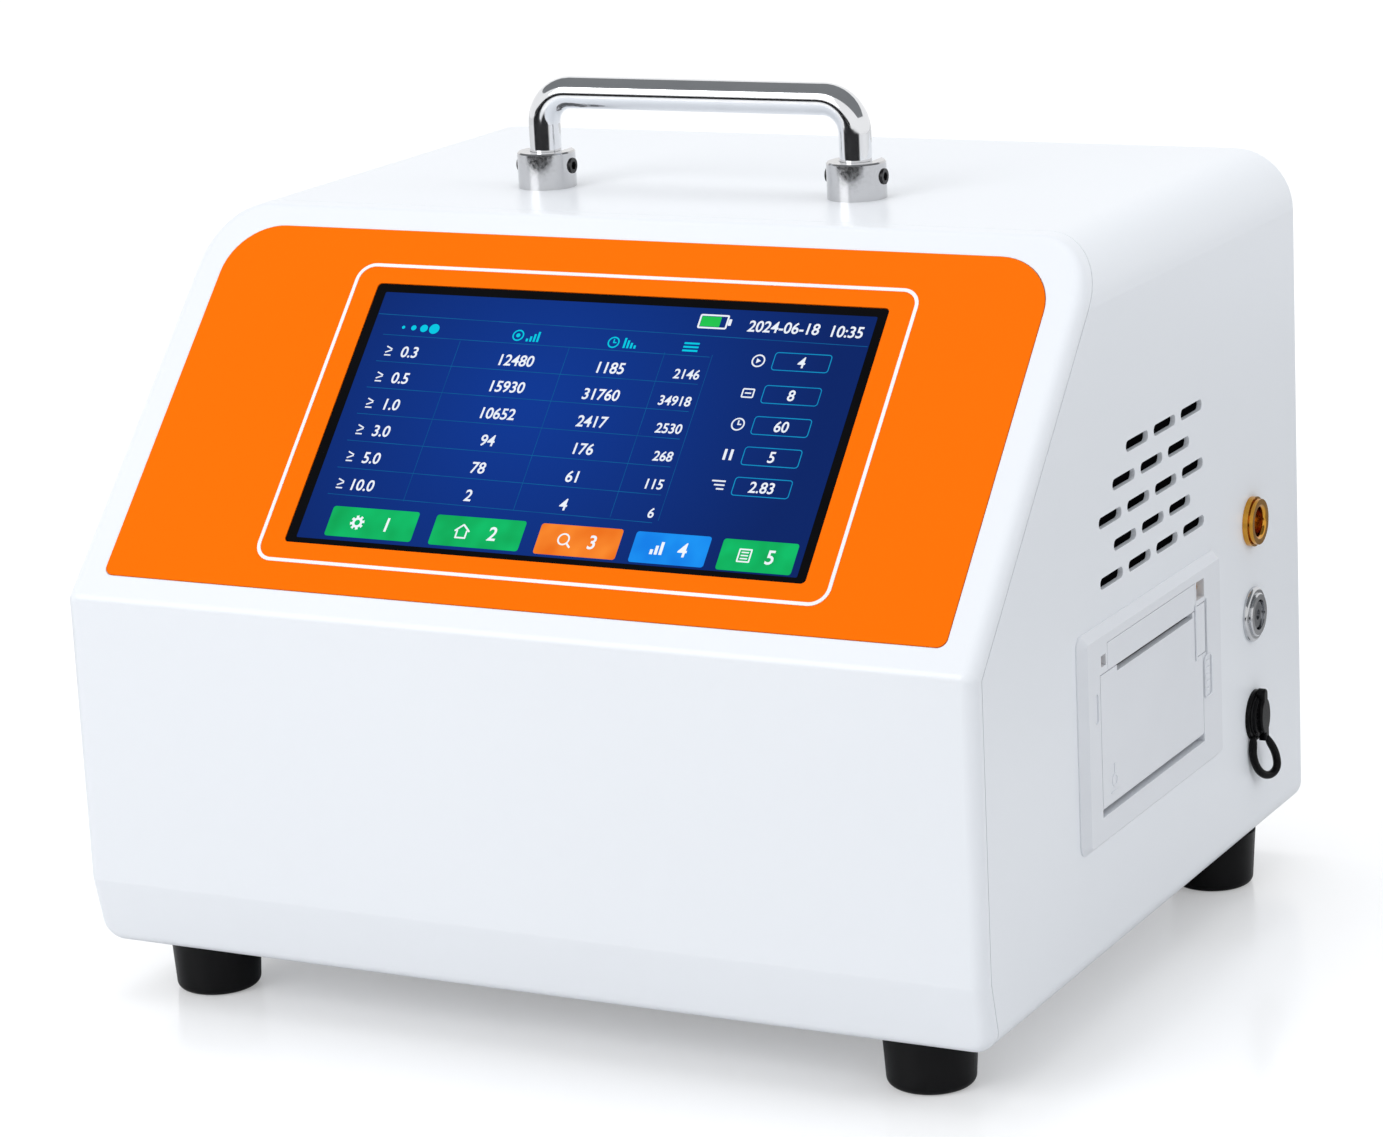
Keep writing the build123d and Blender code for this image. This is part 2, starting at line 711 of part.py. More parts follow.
# ---------------------------------------------------------------- handle
leg_top = z_top + handle_height - handle_bar_radius
with BuildPart() as handle_bar:
    with BuildLine() as bar_path:
        FilletPolyline(
            (handle_x - handle_pitch / 2, handle_y, pivot_z),
            (handle_x - handle_pitch / 2, handle_y, leg_top),
            (handle_x + handle_pitch / 2, handle_y, leg_top),
            (handle_x + handle_pitch / 2, handle_y, pivot_z),
            radius=handle_bend_radius,
        )
    with BuildSketch(Plane(origin=(handle_x - handle_pitch / 2, handle_y, pivot_z), z_dir=(0, 0, 1))):
        Circle(handle_bar_radius)
    sweep()
    for side in handle_sides.values():
        leg_x = handle_x + side * handle_pitch / 2
        with Locations((leg_x, handle_y, pivot_z)):
            Sphere(handle_bar_radius)
        with BuildSketch(Plane(origin=(leg_x, handle_y, pivot_z), x_dir=(0, 1, 0), z_dir=(1, 0, 0))):
            Circle(handle_pin_radius + pin_running_gap)
        extrude(amount=handle_bar_radius * 2, both=True, mode=Mode.SUBTRACT)
finish(handle_bar, "handle_bar")

slot_radius = handle_bar_radius + handle_slot_gap
pin_head_seat = handle_base_radius + handle_pin_head_proud - handle_pin_head_depth
for name, side in handle_sides.items():
    leg_x = handle_x + side * handle_pitch / 2
    across = Plane(origin=(leg_x, handle_y, pivot_z), x_dir=(0, 1, 0), z_dir=(1, 0, 0))
    with BuildPart() as handle_base:
        with BuildSketch(Plane(origin=(leg_x, handle_y, z_top), z_dir=(0, 0, 1))):
            Circle(handle_base_radius)
        extrude(amount=handle_base_height)
        chamfer(handle_base.edges().sort_by(Axis.Z)[-1], length=handle_base_chamfer)
        with BuildSketch(Plane(origin=(leg_x, handle_y, pivot_z - slot_radius), z_dir=(0, 0, 1))):
            Circle(slot_radius)
            with Locations((0, handle_base_radius / 2)):
                Rectangle(2 * slot_radius, handle_base_radius)
        extrude(amount=handle_base_height, mode=Mode.SUBTRACT)
        with BuildSketch(across):
            Circle(handle_pin_radius + pin_running_gap)
        extrude(amount=handle_base_radius, both=True, mode=Mode.SUBTRACT)
        for out in (-1, 1):
            seat = Plane(
                origin=(leg_x + out * pin_head_seat, handle_y, pivot_z), x_dir=(0, out, 0), z_dir=(out, 0, 0)
            )
            with BuildSketch(seat):
                Circle(handle_pin_head_radius + handle_head_gap)
            extrude(amount=handle_base_radius, mode=Mode.SUBTRACT)
        with BuildSketch(Plane(origin=(leg_x, handle_y, z_top), z_dir=(0, 0, -1))):
            Circle(handle_stud_radius)
        extrude(amount=handle_stud_length)
    finish(handle_base, f"handle_base_{name}")
    with BuildPart() as handle_pin:
        with BuildSketch(across):
            Circle(handle_pin_radius)
        extrude(amount=pin_head_seat, both=True)
        for out in (-1, 1):
            seat = Plane(
                origin=(leg_x + out * pin_head_seat, handle_y, pivot_z), x_dir=(0, out, 0), z_dir=(out, 0, 0)
            )
            with BuildSketch(seat):
                Circle(handle_pin_head_radius)
            extrude(amount=handle_pin_head_depth)
            outer_face = seat.offset(handle_pin_head_depth)
            hex_socket(outer_face, handle_pin_socket_flats, handle_pin_socket_depth)
    finish(handle_pin, f"handle_pin_{name}")
    with BuildPart() as handle_nut:
        with BuildSketch(Plane(origin=(leg_x, handle_y, z_top - wall), z_dir=(0, 0, -1))):
            RegularPolygon(handle_nut_flats / 2, 6, major_radius=False)
            Circle(handle_stud_radius + screw_gap, mode=Mode.SUBTRACT)
        extrude(amount=handle_nut_height)
    finish(handle_nut, f"handle_nut_{name}")


def ring_nut(y, z, hole_radius, flats, name):
    """Hexagon nut on a barrel, seated on the inner face of the side wall."""
    with BuildPart() as nut:
        with BuildSketch(side_plane(y, z, -wall)):
            RegularPolygon(flats / 2, 6, major_radius=False)
            Circle(hole_radius + barrel_gap, mode=Mode.SUBTRACT)
        extrude(amount=-nut_thickness)
    finish(nut, name)


# ---------------------------------------------------------------- sampling inlet
nose_start = inlet_flange_thickness + inlet_groove_width
inlet_reach = nose_start + inlet_nose_length
barb_start = wall + inlet_barrel_length
inlet_depth = barb_start + inlet_barb_length
with BuildPart() as inlet_fitting:
    with BuildSketch(Plane(origin=(x_right, fitting_y, inlet_z), x_dir=(1, 0, 0), z_dir=(0, -1, 0))):
        with BuildLine():
            Polyline(
                (-inlet_depth, inlet_throat_radius),
                (-inlet_depth, inlet_barb_radius),
                (-barb_start, inlet_barb_radius),
                (-barb_start, inlet_barrel_radius),
                (0, inlet_barrel_radius),
                (0, inlet_flange_radius),
                (inlet_flange_thickness, inlet_flange_radius),
                (inlet_flange_thickness, inlet_nose_radius - inlet_groove_depth),
                (nose_start, inlet_nose_radius - inlet_groove_depth),
                (nose_start, inlet_nose_radius),
                (inlet_reach, inlet_nose_radius),
                (inlet_reach, inlet_bore_radius + inlet_mouth_radius),
            )
            RadiusArc(
                (inlet_reach, inlet_bore_radius + inlet_mouth_radius),
                (inlet_reach - inlet_mouth_radius, inlet_bore_radius),
                inlet_mouth_radius,
            )
            Polyline(
                (inlet_reach - inlet_mouth_radius, inlet_bore_radius),
                (-wall, inlet_bore_radius),
                (-wall - inlet_bore_radius + inlet_throat_radius, inlet_throat_radius),
                (-inlet_depth, inlet_throat_radius),
            )
        make_face()
    revolve(axis=Axis(origin=(x_right, fitting_y, inlet_z), direction=(1, 0, 0)))
finish(inlet_fitting, "inlet_fitting")
ring_nut(fitting_y, inlet_z, inlet_barrel_radius, 2 * inlet_flange_radius, "inlet_nut")

# ---------------------------------------------------------------- power switch
switch_reach = switch_flange_thickness + switch_ring_thickness
with BuildPart() as switch_body:
    with BuildSketch(side_plane(fitting_y, switch_z)):
        Circle(switch_flange_radius)
    extrude(amount=switch_flange_thickness)
    fillet(switch_body.faces().sort_by(Axis.X)[-1].edges(), radius=switch_dome)
    with BuildSketch(side_plane(fitting_y, switch_z)):
        Circle(switch_ring_radius)
    extrude(amount=switch_reach)
    chamfer(switch_body.faces().sort_by(Axis.X)[-1].edges(), length=switch_edge)
    with BuildSketch(side_plane(fitting_y, switch_z)):
        Circle(switch_barrel_radius)
    extrude(amount=-wall - switch_barrel_length)
    with BuildSketch(side_plane(fitting_y, switch_z, switch_reach)):
        Circle(switch_bore_radius)
    extrude(amount=-switch_reach - wall - switch_barrel_length + switch_floor, mode=Mode.SUBTRACT)
finish(switch_body, "switch_body")

with BuildPart() as switch_button:
    with BuildSketch(side_plane(fitting_y, switch_z, switch_reach - switch_button_sunk)):
        Circle(switch_button_radius)
    extrude(amount=-switch_button_length)
    chamfer(switch_button.faces().sort_by(Axis.X)[-1].edges(), length=switch_edge)
    with BuildSketch(side_plane(fitting_y, switch_z, switch_reach - switch_button_sunk)):
        Circle(switch_led_radius)
    extrude(amount=-switch_led_depth, mode=Mode.SUBTRACT)
finish(switch_button, "switch_button")
ring_nut(fitting_y, switch_z, switch_barrel_radius, 2 * switch_flange_radius, "switch_nut")

# ---------------------------------------------------------------- charging port
lip_out = port_ring_thickness + port_lip_thickness
with BuildPart() as port_socket:
    with BuildSketch(side_plane(fitting_y, port_z, port_ring_thickness)):
        Circle(port_lip_radius)
    extrude(amount=port_lip_thickness)
    with BuildSketch(side_plane(fitting_y, port_z, port_ring_thickness)):
        Circle(port_barrel_radius)
    extrude(amount=-port_ring_thickness - wall - port_barrel_length)
    with BuildSketch(side_plane(fitting_y, port_z, lip_out)):
        Circle(port_bore_radius)
    extrude(amount=-port_bore_depth, mode=Mode.SUBTRACT)
    with BuildSketch(side_plane(fitting_y, port_z, lip_out - port_bore_depth)):
        Circle(port_pin_radius)
    extrude(amount=port_bore_depth - cap_plug_length - port_pin_gap)
finish(port_socket, "port_socket")
ring_nut(fitting_y, port_z, port_barrel_radius, 2 * port_ring_radius, "port_nut")

loop_dir = Vector(math.cos(tether_turn), math.sin(tether_turn), 0)
loop_root = Vector(x_right + tether_root_out, fitting_y - tether_root_forward, port_z)
loop_plane = Plane(origin=loop_root, x_dir=loop_dir, z_dir=loop_dir.cross(Vector(0, 0, 1)))
lug_place = loop_root + loop_dir * tether_end_place
with BuildPart() as port_cap:
    with BuildSketch(side_plane(fitting_y, port_z, lip_out)):
        Circle(cap_plug_radius)
    extrude(amount=-cap_plug_length)
    with BuildSketch(side_plane(fitting_y, port_z, lip_out)):
        Circle(cap_disc_radius)
    extrude(amount=cap_disc_thickness)
    fillet(port_cap.faces().sort_by(Axis.X)[-1].edges(), radius=cap_disc_edge)
    with BuildSketch(side_plane(fitting_y, port_z, lip_out)):
        Ellipse(cap_grip_width / 2, cap_grip_height / 2)
        with Locations((0, cap_ear_rise / 2 - cap_ear_width / 4)):
            Rectangle(cap_ear_width, cap_ear_rise - cap_ear_width / 2)
        with Locations((0, cap_ear_rise - cap_ear_width / 2)):
            Circle(cap_ear_width / 2)
        with Locations((lug_place.Y - fitting_y, -cap_lug_drop / 2)):
            Rectangle(cap_lug_width, cap_lug_drop)
    extrude(amount=cap_disc_thickness + cap_grip_thickness)
    fillet(port_cap.faces().sort_by(Axis.X)[-1].edges(), radius=cap_grip_edge)
finish(port_cap, "port_cap")

with BuildPart() as cap_tether:
    with BuildSketch(side_plane(fitting_y, port_z)):
        Circle(port_ring_radius)
    extrude(amount=port_ring_thickness)
    with BuildLine():
        Spline(
            loop_plane.from_local_coords((0, -tether_top, 0)),
            loop_plane.from_local_coords((tether_side_shift, -tether_side_drop, 0)),
            loop_plane.from_local_coords((tether_low_place, -tether_drop, 0)),
            loop_plane.from_local_coords((tether_span, -tether_span_drop, 0)),
            loop_plane.from_local_coords((tether_end_place, -cap_lug_drop - tether_end_gap, 0)),
            tangents=[(0, 0, -1), (0, 0, 1)],
        )
    with BuildSketch(Plane(origin=loop_plane.from_local_coords((0, -tether_top, 0)), z_dir=(0, 0, -1))):
        Circle(tether_radius)
    sweep()
    with BuildSketch(side_plane(fitting_y, port_z)):
        Circle(port_barrel_radius + barrel_gap)
    extrude(amount=port_ring_thickness, mode=Mode.SUBTRACT)
finish(cap_tether, "cap_tether")


# ---------------------------------------------------------------- printer
door_floor = -door_hinge_drop
strip_bottom = door_top + door_gap
door_back = bezel_proud - door_thickness
lever_right = lever_left + lever_width
lever_top = lever_bottom + lever_height


def patch(left, low, right, high, mode=Mode.ADD):
    """Rectangle between two corners in the active sketch."""
    with Locations(((left + right) / 2, (low + high) / 2)):
        Rectangle(right - left, high - low, mode=mode)


def bezel_opening():
    """The stepped opening that holds the door, the release button and the tear strip."""
    patch(-door_left - door_gap, -opening_drop, door_right + door_gap, strip_bottom)
    patch(lever_left - door_gap, lever_bottom - door_gap, lever_right + door_gap, lever_top + door_gap)
    patch(-strip_left - fit_gap, door_top, strip_right + fit_gap, strip_bottom + strip_height + fit_gap)
    patch(
        window_right_left,
        window_right_bottom,
        window_right_left + window_right_width,
        window_right_bottom + window_right_height,
    )
    patch(
        -window_left_left,
        window_left_bottom,
        -window_left_left + window_left_width,
        window_left_bottom + window_left_height,
    )


def rod(y_from, y_to, rise, out, radius, mode=Mode.ADD):
    """Round bar along Y, placed from the bezel's centre and the cover's face."""
    start = Plane(
        origin=(x_right + out, printer_y + y_from, printer_z + rise), x_dir=(1, 0, 0), z_dir=(0, 1, 0)
    )
    with BuildPart(mode=Mode.PRIVATE) as bar:
        with BuildSketch(start):
            Circle(radius)
        extrude(amount=y_to - y_from)
    add(bar.part, mode=mode)


hinge_from = -door_left - door_gap - door_pin_seat
hinge_to = door_right + door_gap + door_pin_seat
shaft_from = -window_left_left - shaft_seat
shaft_to = window_right_left + window_right_width + shaft_seat
with BuildPart() as printer_bezel:
    with BuildSketch(side_plane(printer_y, printer_z)):
        RectangleRounded(bezel_width, bezel_height, bezel_radius)
    extrude(amount=bezel_proud)
    chamfer(printer_bezel.faces().sort_by(Axis.X)[-1].edges(), length=bezel_bevel)
    with BuildSketch(side_plane(printer_y, printer_z)):
        Rectangle(collar_width, collar_height)
    extrude(amount=-collar_depth)
    with BuildSketch(side_plane(printer_y, printer_z, bezel_proud)):
        bezel_opening()
    extrude(amount=-bezel_proud - collar_depth, mode=Mode.SUBTRACT)
    rod(hinge_from, hinge_to, door_floor, door_hinge_out, door_pin_radius + pin_running_gap, Mode.SUBTRACT)
    rod(shaft_from, shaft_to, shaft_rise, -shaft_back, shaft_radius + pin_running_gap, Mode.SUBTRACT)
    rib_y = door_right + grip_rib_from_edge
    rib_rise = lever_bottom - door_gap - (grip_rib_count / 2 + 1) * grip_rib_pitch
    with BuildSketch(side_plane(printer_y, printer_z, bezel_proud)):
        with Locations((rib_y, rib_rise)):
            with GridLocations(0, grip_rib_pitch, 1, grip_rib_count):
                Rectangle(grip_rib_width, grip_rib_height)
    extrude(amount=grip_rib_proud)
    with BuildSketch(side_plane(printer_y, printer_z, bezel_proud)):
        with Locations((-dimple_left, dimple_rise)):
            SlotOverall(dimple_height, dimple_width, rotation=90)
    extrude(amount=-dimple_depth, mode=Mode.SUBTRACT)
finish(printer_bezel, "printer_bezel")

platen_bore_radius = platen_shaft_radius + pin_running_gap
with BuildPart() as printer_door:
    with BuildSketch(side_plane(printer_y, printer_z, door_back)):
        patch(-door_left, door_floor, door_right, door_top)
        patch(
            lever_left - door_gap,
            lever_bottom - door_gap,
            door_right + door_gap,
            door_top + door_gap,
            Mode.SUBTRACT,
        )
        patch(-slot_left, door_top - slot_height, slot_right, door_top + door_gap, Mode.SUBTRACT)
    extrude(amount=door_thickness)
    rod(-door_left, door_right, door_floor, door_hinge_out, door_hinge_radius)
    for ear_from in (-platen_left - platen_end_gap - platen_ear_thickness, platen_right + platen_end_gap):
        ear = Plane(
            origin=(x_right - platen_back, printer_y + ear_from, printer_z + platen_rise),
            x_dir=(1, 0, 0),
            z_dir=(0, 1, 0),
        )
        with BuildSketch(ear):
            Circle(platen_ear_radius)
            with Locations(((platen_back + door_back) / 2, 0)):
                Rectangle(platen_back + door_back, 2 * platen_ear_radius)
        extrude(amount=platen_ear_thickness)
    rod(-door_left, door_right, platen_rise, -platen_back, platen_bore_radius, Mode.SUBTRACT)
    rod(-door_left, door_right, door_floor, door_hinge_out, door_pin_radius + pin_running_gap, Mode.SUBTRACT)
finish(printer_door, "printer_door")

with BuildPart() as door_pin:
    rod(hinge_from, hinge_to, door_floor, door_hinge_out, door_pin_radius)
finish(door_pin, "door_pin")

with BuildPart() as platen_roller:
    rod(-platen_left, platen_right, platen_rise, -platen_back, platen_radius)
    roller_bore = platen_shaft_radius + pin_running_gap
    rod(-platen_left, platen_right, platen_rise, -platen_back, roller_bore, Mode.SUBTRACT)
finish(platen_roller, "platen_roller")

shaft_end = platen_end_gap + platen_ear_thickness + door_gap
with BuildPart() as platen_shaft:
    rod(-platen_left - shaft_end, platen_right + shaft_end, platen_rise, -platen_back, platen_shaft_radius)
finish(platen_shaft, "platen_shaft")

with BuildPart() as strip_shaft:
    rod(shaft_from, shaft_to, shaft_rise, -shaft_back, shaft_radius)
finish(strip_shaft, "strip_shaft")

with BuildPart() as tear_strip:
    with BuildSketch(side_plane(printer_y, printer_z, bezel_proud)):
        patch(-strip_left, strip_bottom, strip_right, strip_bottom + strip_height)
    extrude(amount=-strip_thickness)
finish(tear_strip, "tear_strip")

with BuildPart() as release_button:
    with BuildSketch(side_plane(printer_y, printer_z, bezel_proud)):
        patch(lever_left, lever_bottom, lever_right, lever_top)
    extrude(amount=-door_thickness)
    with BuildSketch(side_plane(printer_y, printer_z, door_back)):
        with Locations((lever_left + lever_width / 2, lever_bottom + lever_height / 2)):
            Rectangle(lever_stem_width, lever_stem_width)
    extrude(amount=-lever_stem_length)
finish(release_button, "release_button")

with BuildPart() as printer_well:
    with BuildSketch(side_plane(printer_y, printer_z, -collar_depth)):
        Rectangle(collar_width, collar_height)
    extrude(amount=-well_depth)
    with BuildSketch(side_plane(printer_y, printer_z, -collar_depth)):
        Rectangle(collar_width - 2 * well_wall, collar_height - 2 * well_wall)
    extrude(amount=-well_depth + well_wall, mode=Mode.SUBTRACT)
finish(printer_well, "printer_well")

well_ceiling = collar_height / 2 - well_wall
head_out = -platen_back - platen_radius - head_gap
head_low = platen_rise - head_below
with BuildPart() as print_head:
    with BuildSketch(side_plane(printer_y, printer_z, head_out)):
        patch(-platen_left, head_low, platen_right, well_ceiling)
    extrude(amount=-head_thickness)
    with BuildSketch(side_plane(printer_y, printer_z, head_out - head_thickness)):
        patch(-platen_left, well_ceiling - head_bracket_thickness, platen_right, well_ceiling)
    extrude(amount=-2 * head_thickness)
finish(print_head, "print_head")

roll_rise = -well_ceiling + roll_radius + roll_rest_gap
roll_left = -(slot_left + roll_width - slot_right) / 2
with BuildPart() as paper_roll:
    rod(roll_left, roll_left + roll_width, roll_rise, -roll_back, roll_radius)
    rod(roll_left, roll_left + roll_width, roll_rise, -roll_back, roll_core_radius, Mode.SUBTRACT)
finish(paper_roll, "paper_roll")

# ---------------------------------------------------------------- inside the housing
board_z = floor_z + board_standoff
with BuildPart() as main_board:
    with BuildSketch(Plane.XY.offset(board_z)):
        with Locations((board_x, board_y)):
            Rectangle(board_width, board_depth)
    extrude(amount=board_thickness)
    with BuildSketch(Plane.XY.offset(board_z + board_thickness)):
        with Locations((board_x, board_y)):
            Rectangle(heat_sink_size, heat_sink_size)
            with GridLocations(0, board_depth - connector_depth, 1, 2):
                Rectangle(connector_width, connector_depth)
    extrude(amount=connector_height)
finish(main_board, "main_board")

with BuildPart() as battery_pack:
    with BuildSketch(Plane.XY.offset(floor_z)):
        with Locations((battery_x, battery_y)):
            Rectangle(battery_width, battery_depth)
    extrude(amount=battery_height)
    fillet(battery_pack.edges().filter_by(Axis.Y), radius=battery_edge)
finish(battery_pack, "battery_pack")

with BuildPart() as battery_strap:
    strap_start = Plane(
        origin=(battery_x, battery_y + strap_width / 2, floor_z), x_dir=(1, 0, 0), z_dir=(0, -1, 0)
    )
    strap_half = battery_width / 2 + strap_thickness
    with BuildSketch(strap_start):
        patch(-strap_half, 0, strap_half, battery_height + strap_thickness)
        patch(-strap_half + strap_thickness, 0, strap_half - strap_thickness, battery_height, Mode.SUBTRACT)
        patch(-strap_half - strap_foot, 0, -strap_half, strap_thickness)
        patch(strap_half, 0, strap_half + strap_foot, strap_thickness)
    extrude(amount=strap_width)
finish(battery_strap, "battery_strap")

sensor_x = x_right - sensor_side_gap
pump_x = sensor_x - sensor_width / 2 - pump_spacing - pump_head_width / 2
pump_port_z = floor_z + pump_port_rise
with BuildPart() as sensor_block:
    with BuildSketch(Plane.XY.offset(floor_z)):
        with Locations((sensor_x, fitting_y)):
            Rectangle(sensor_width, sensor_depth)
    extrude(amount=sensor_height)
    with BuildSketch(Plane.XY.offset(floor_z + sensor_height)):
        with Locations((sensor_x, fitting_y)):
            Circle(nozzle_radius)
    extrude(amount=nozzle_length)
    laser_face = Plane(
        origin=(sensor_x, fitting_y - sensor_depth / 2, pump_port_z), x_dir=(1, 0, 0), z_dir=(0, -1, 0)
    )
    with BuildSketch(laser_face):
        Circle(laser_radius)
    extrude(amount=laser_length)
    outlet_face = Plane(
        origin=(sensor_x - sensor_width / 2, fitting_y, pump_port_z), x_dir=(0, 1, 0), z_dir=(-1, 0, 0)
    )
    with BuildSketch(outlet_face):
        Circle(nozzle_radius)
    extrude(amount=nozzle_length)
finish(sensor_block, "sensor_block")

with BuildPart() as sample_pump:
    with BuildSketch(Plane.XY.offset(floor_z)):
        with Locations((pump_x, fitting_y)):
            Rectangle(pump_head_width, pump_head_depth)
    extrude(amount=pump_head_height)
    intake_face = Plane(
        origin=(pump_x + pump_head_width / 2, fitting_y, pump_port_z), x_dir=(0, 1, 0), z_dir=(1, 0, 0)
    )
    with BuildSketch(intake_face):
        Circle(nozzle_radius)
    extrude(amount=nozzle_length)
    motor_face = Plane(
        origin=(pump_x - pump_head_width / 2, fitting_y, pump_port_z), x_dir=(0, 1, 0), z_dir=(-1, 0, 0)
    )
    with BuildSketch(motor_face):
        Circle(pump_motor_radius)
    extrude(amount=pump_motor_length)
finish(sample_pump, "sample_pump")

tube_bore = nozzle_radius + tube_gap
tube_start = x_right - inlet_depth + tube_overlap
tube_end = floor_z + sensor_height + nozzle_length - tube_overlap
with BuildPart() as inlet_tube:
    with BuildLine():
        FilletPolyline(
            (tube_start, fitting_y, inlet_z),
            (sensor_x, fitting_y, inlet_z),
            (sensor_x, fitting_y, tube_end),
            radius=tube_bend_radius,
        )
    with BuildSketch(Plane(origin=(tube_start, fitting_y, inlet_z), x_dir=(0, 1, 0), z_dir=(-1, 0, 0))):
        Circle(tube_bore + tube_wall)
        Circle(tube_bore, mode=Mode.SUBTRACT)
    sweep()
finish(inlet_tube, "inlet_tube")

with BuildPart() as pump_tube:
    with BuildSketch(
        Plane(
            origin=(sensor_x - sensor_width / 2 - nozzle_length + tube_overlap, fitting_y, pump_port_z),
            x_dir=(0, 1, 0),
            z_dir=(-1, 0, 0),
        )
    ):
        Circle(tube_bore + tube_wall)
        Circle(tube_bore, mode=Mode.SUBTRACT)
    extrude(amount=pump_spacing - 2 * (nozzle_length - tube_overlap))
finish(pump_tube, "pump_tube")
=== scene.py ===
"""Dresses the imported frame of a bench-top airborne particle counter.

It adds the finishes, the lit display, the cap strap, small moulded details and the studio.
"""
import math

import bpy
from mathutils import Matrix, Vector


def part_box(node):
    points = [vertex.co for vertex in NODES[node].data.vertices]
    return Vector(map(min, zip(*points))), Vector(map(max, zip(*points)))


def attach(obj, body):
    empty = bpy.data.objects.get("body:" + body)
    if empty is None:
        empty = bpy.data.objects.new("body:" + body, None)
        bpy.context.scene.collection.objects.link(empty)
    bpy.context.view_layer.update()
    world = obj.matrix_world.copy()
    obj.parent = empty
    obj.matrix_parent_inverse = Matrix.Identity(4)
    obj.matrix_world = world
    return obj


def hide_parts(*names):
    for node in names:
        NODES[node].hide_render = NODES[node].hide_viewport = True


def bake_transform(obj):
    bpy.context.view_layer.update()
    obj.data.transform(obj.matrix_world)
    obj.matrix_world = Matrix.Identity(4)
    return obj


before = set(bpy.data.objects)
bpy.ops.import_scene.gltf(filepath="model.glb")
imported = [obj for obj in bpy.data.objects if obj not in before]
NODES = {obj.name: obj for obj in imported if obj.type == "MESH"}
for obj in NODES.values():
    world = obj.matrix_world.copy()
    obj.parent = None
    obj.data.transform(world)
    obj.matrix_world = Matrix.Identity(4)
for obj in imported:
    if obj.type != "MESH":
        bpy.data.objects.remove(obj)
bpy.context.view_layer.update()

bl_info = {
    "name": "Airborne Particle Counter",
    "version": (1, 0, 0),
    "blender": (4, 5, 0),
    "location": "3D View > Sidebar > Counter",
    "description": "Finishes, display, cap strap and studio of a bench-top particle counter",
    "category": "Object",
}

MM = 0.001


# ---------------------------------------------------------------- settings
class StageSettings(bpy.types.PropertyGroup):
    camera_place: bpy.props.FloatVectorProperty(
        name="Camera place", description="Where the camera stands", subtype="TRANSLATION", unit="LENGTH",
        default=(0.616413, -1.171349, 0.452439), precision=4,
    )
    camera_turn: bpy.props.FloatVectorProperty(
        name="Camera turn", description="Camera rotation", subtype="EULER", unit="ROTATION",
        default=(math.radians(76.0537), math.radians(2.6809), math.radians(27.2890)),
    )
    focal_length: bpy.props.FloatProperty(
        name="Focal length", description="Lens on a 36 mm wide sensor", default=113.783,
        subtype="DISTANCE_CAMERA",
    )
    shift_x: bpy.props.FloatProperty(name="Shift across", description="Camera shift", default=-0.00285)
    shift_y: bpy.props.FloatProperty(name="Shift up", description="Camera shift", default=-0.01565)
    room_light: bpy.props.FloatProperty(
        name="Room light", description="Strength of the even room light", default=0.62,
    )
    floor_radius: bpy.props.FloatProperty(
        name="Floor radius", description="Half width of the studio floor", default=5.0, unit="LENGTH",
    )


class ShellColours(bpy.types.PropertyGroup):
    white: bpy.props.FloatVectorProperty(
        name="White", description="Coat of the housing", subtype="COLOR", default=(0.86, 0.885, 0.925),
    )
    printer: bpy.props.FloatVectorProperty(
        name="Printer grey", description="Printer mouldings", subtype="COLOR", default=(0.80, 0.82, 0.86),
    )
    orange: bpy.props.FloatVectorProperty(
        name="Orange", description="Display overlay", subtype="COLOR", default=(0.98, 0.163, 0.0),
    )
    brass: bpy.props.FloatVectorProperty(
        name="Brass", description="Sampling inlet", subtype="COLOR", default=(0.72, 0.35, 0.05),
    )


class DisplaySettings(bpy.types.PropertyGroup):
    slope_run: bpy.props.FloatProperty(
        name="Slope run", description="How far the display face leans back", default=98 * MM, unit="LENGTH",
    )
    slope_rise: bpy.props.FloatProperty(
        name="Slope rise", description="Height of the display face", default=104 * MM, unit="LENGTH",
    )
    active_width: bpy.props.FloatProperty(
        name="Picture width", description="Lit width of the display", default=165.6 * MM, unit="LENGTH",
    )
    active_height: bpy.props.FloatProperty(
        name="Picture height", description="Lit height of the display", default=86.4 * MM, unit="LENGTH",
    )
    offset_across: bpy.props.FloatProperty(
        name="Picture offset across", description="Lit area from the glass centre", default=0.3 * MM,
        unit="LENGTH",
    )
    offset_up: bpy.props.FloatProperty(
        name="Picture offset up", description="Lit area from the glass centre", default=-0.6 * MM,
        unit="LENGTH",
    )
    figure_height: bpy.props.FloatProperty(
        name="Figure height", description="Height of the readings", default=3.9 * MM, unit="LENGTH",
    )
    glow: bpy.props.FloatProperty(name="Glow", description="Brightness of the lit display", default=1.0)


class StrapSettings(bpy.types.PropertyGroup):
    thickness: bpy.props.FloatProperty(
        name="Strap thickness", description="Diameter of the rubber strap", default=2.6 * MM, unit="LENGTH",
    )
    ring_radius: bpy.props.FloatProperty(
        name="Ring radius", description="Outer radius of the rubber ring", default=8.2 * MM, unit="LENGTH",
    )
    ring_bore: bpy.props.FloatProperty(
        name="Ring bore", description="Inner radius of the rubber ring", default=5.6 * MM, unit="LENGTH",
    )
    ring_height: bpy.props.FloatProperty(
        name="Ring height", description="Thickness of the rubber ring", default=1.3 * MM, unit="LENGTH",
    )


# ---------------------------------------------------------------- modelling helpers
FIGURE_WEIGHT = 0.014
FIGURE_SLANT = 0.05
FIGURE_WIDTH = 0.94
FIGURE_DEPTH = 0.003
CORNER_STEPS = 5


def take(piece):
    """Makes a piece the only one selected, and the active one."""
    bpy.ops.object.select_all(action="DESELECT")
    piece.select_set(True)
    bpy.context.view_layer.objects.active = piece


def fresh(name):
    """Names the piece that was just added."""
    piece = bpy.context.object
    piece.name = name
    piece.data.name = name
    return piece


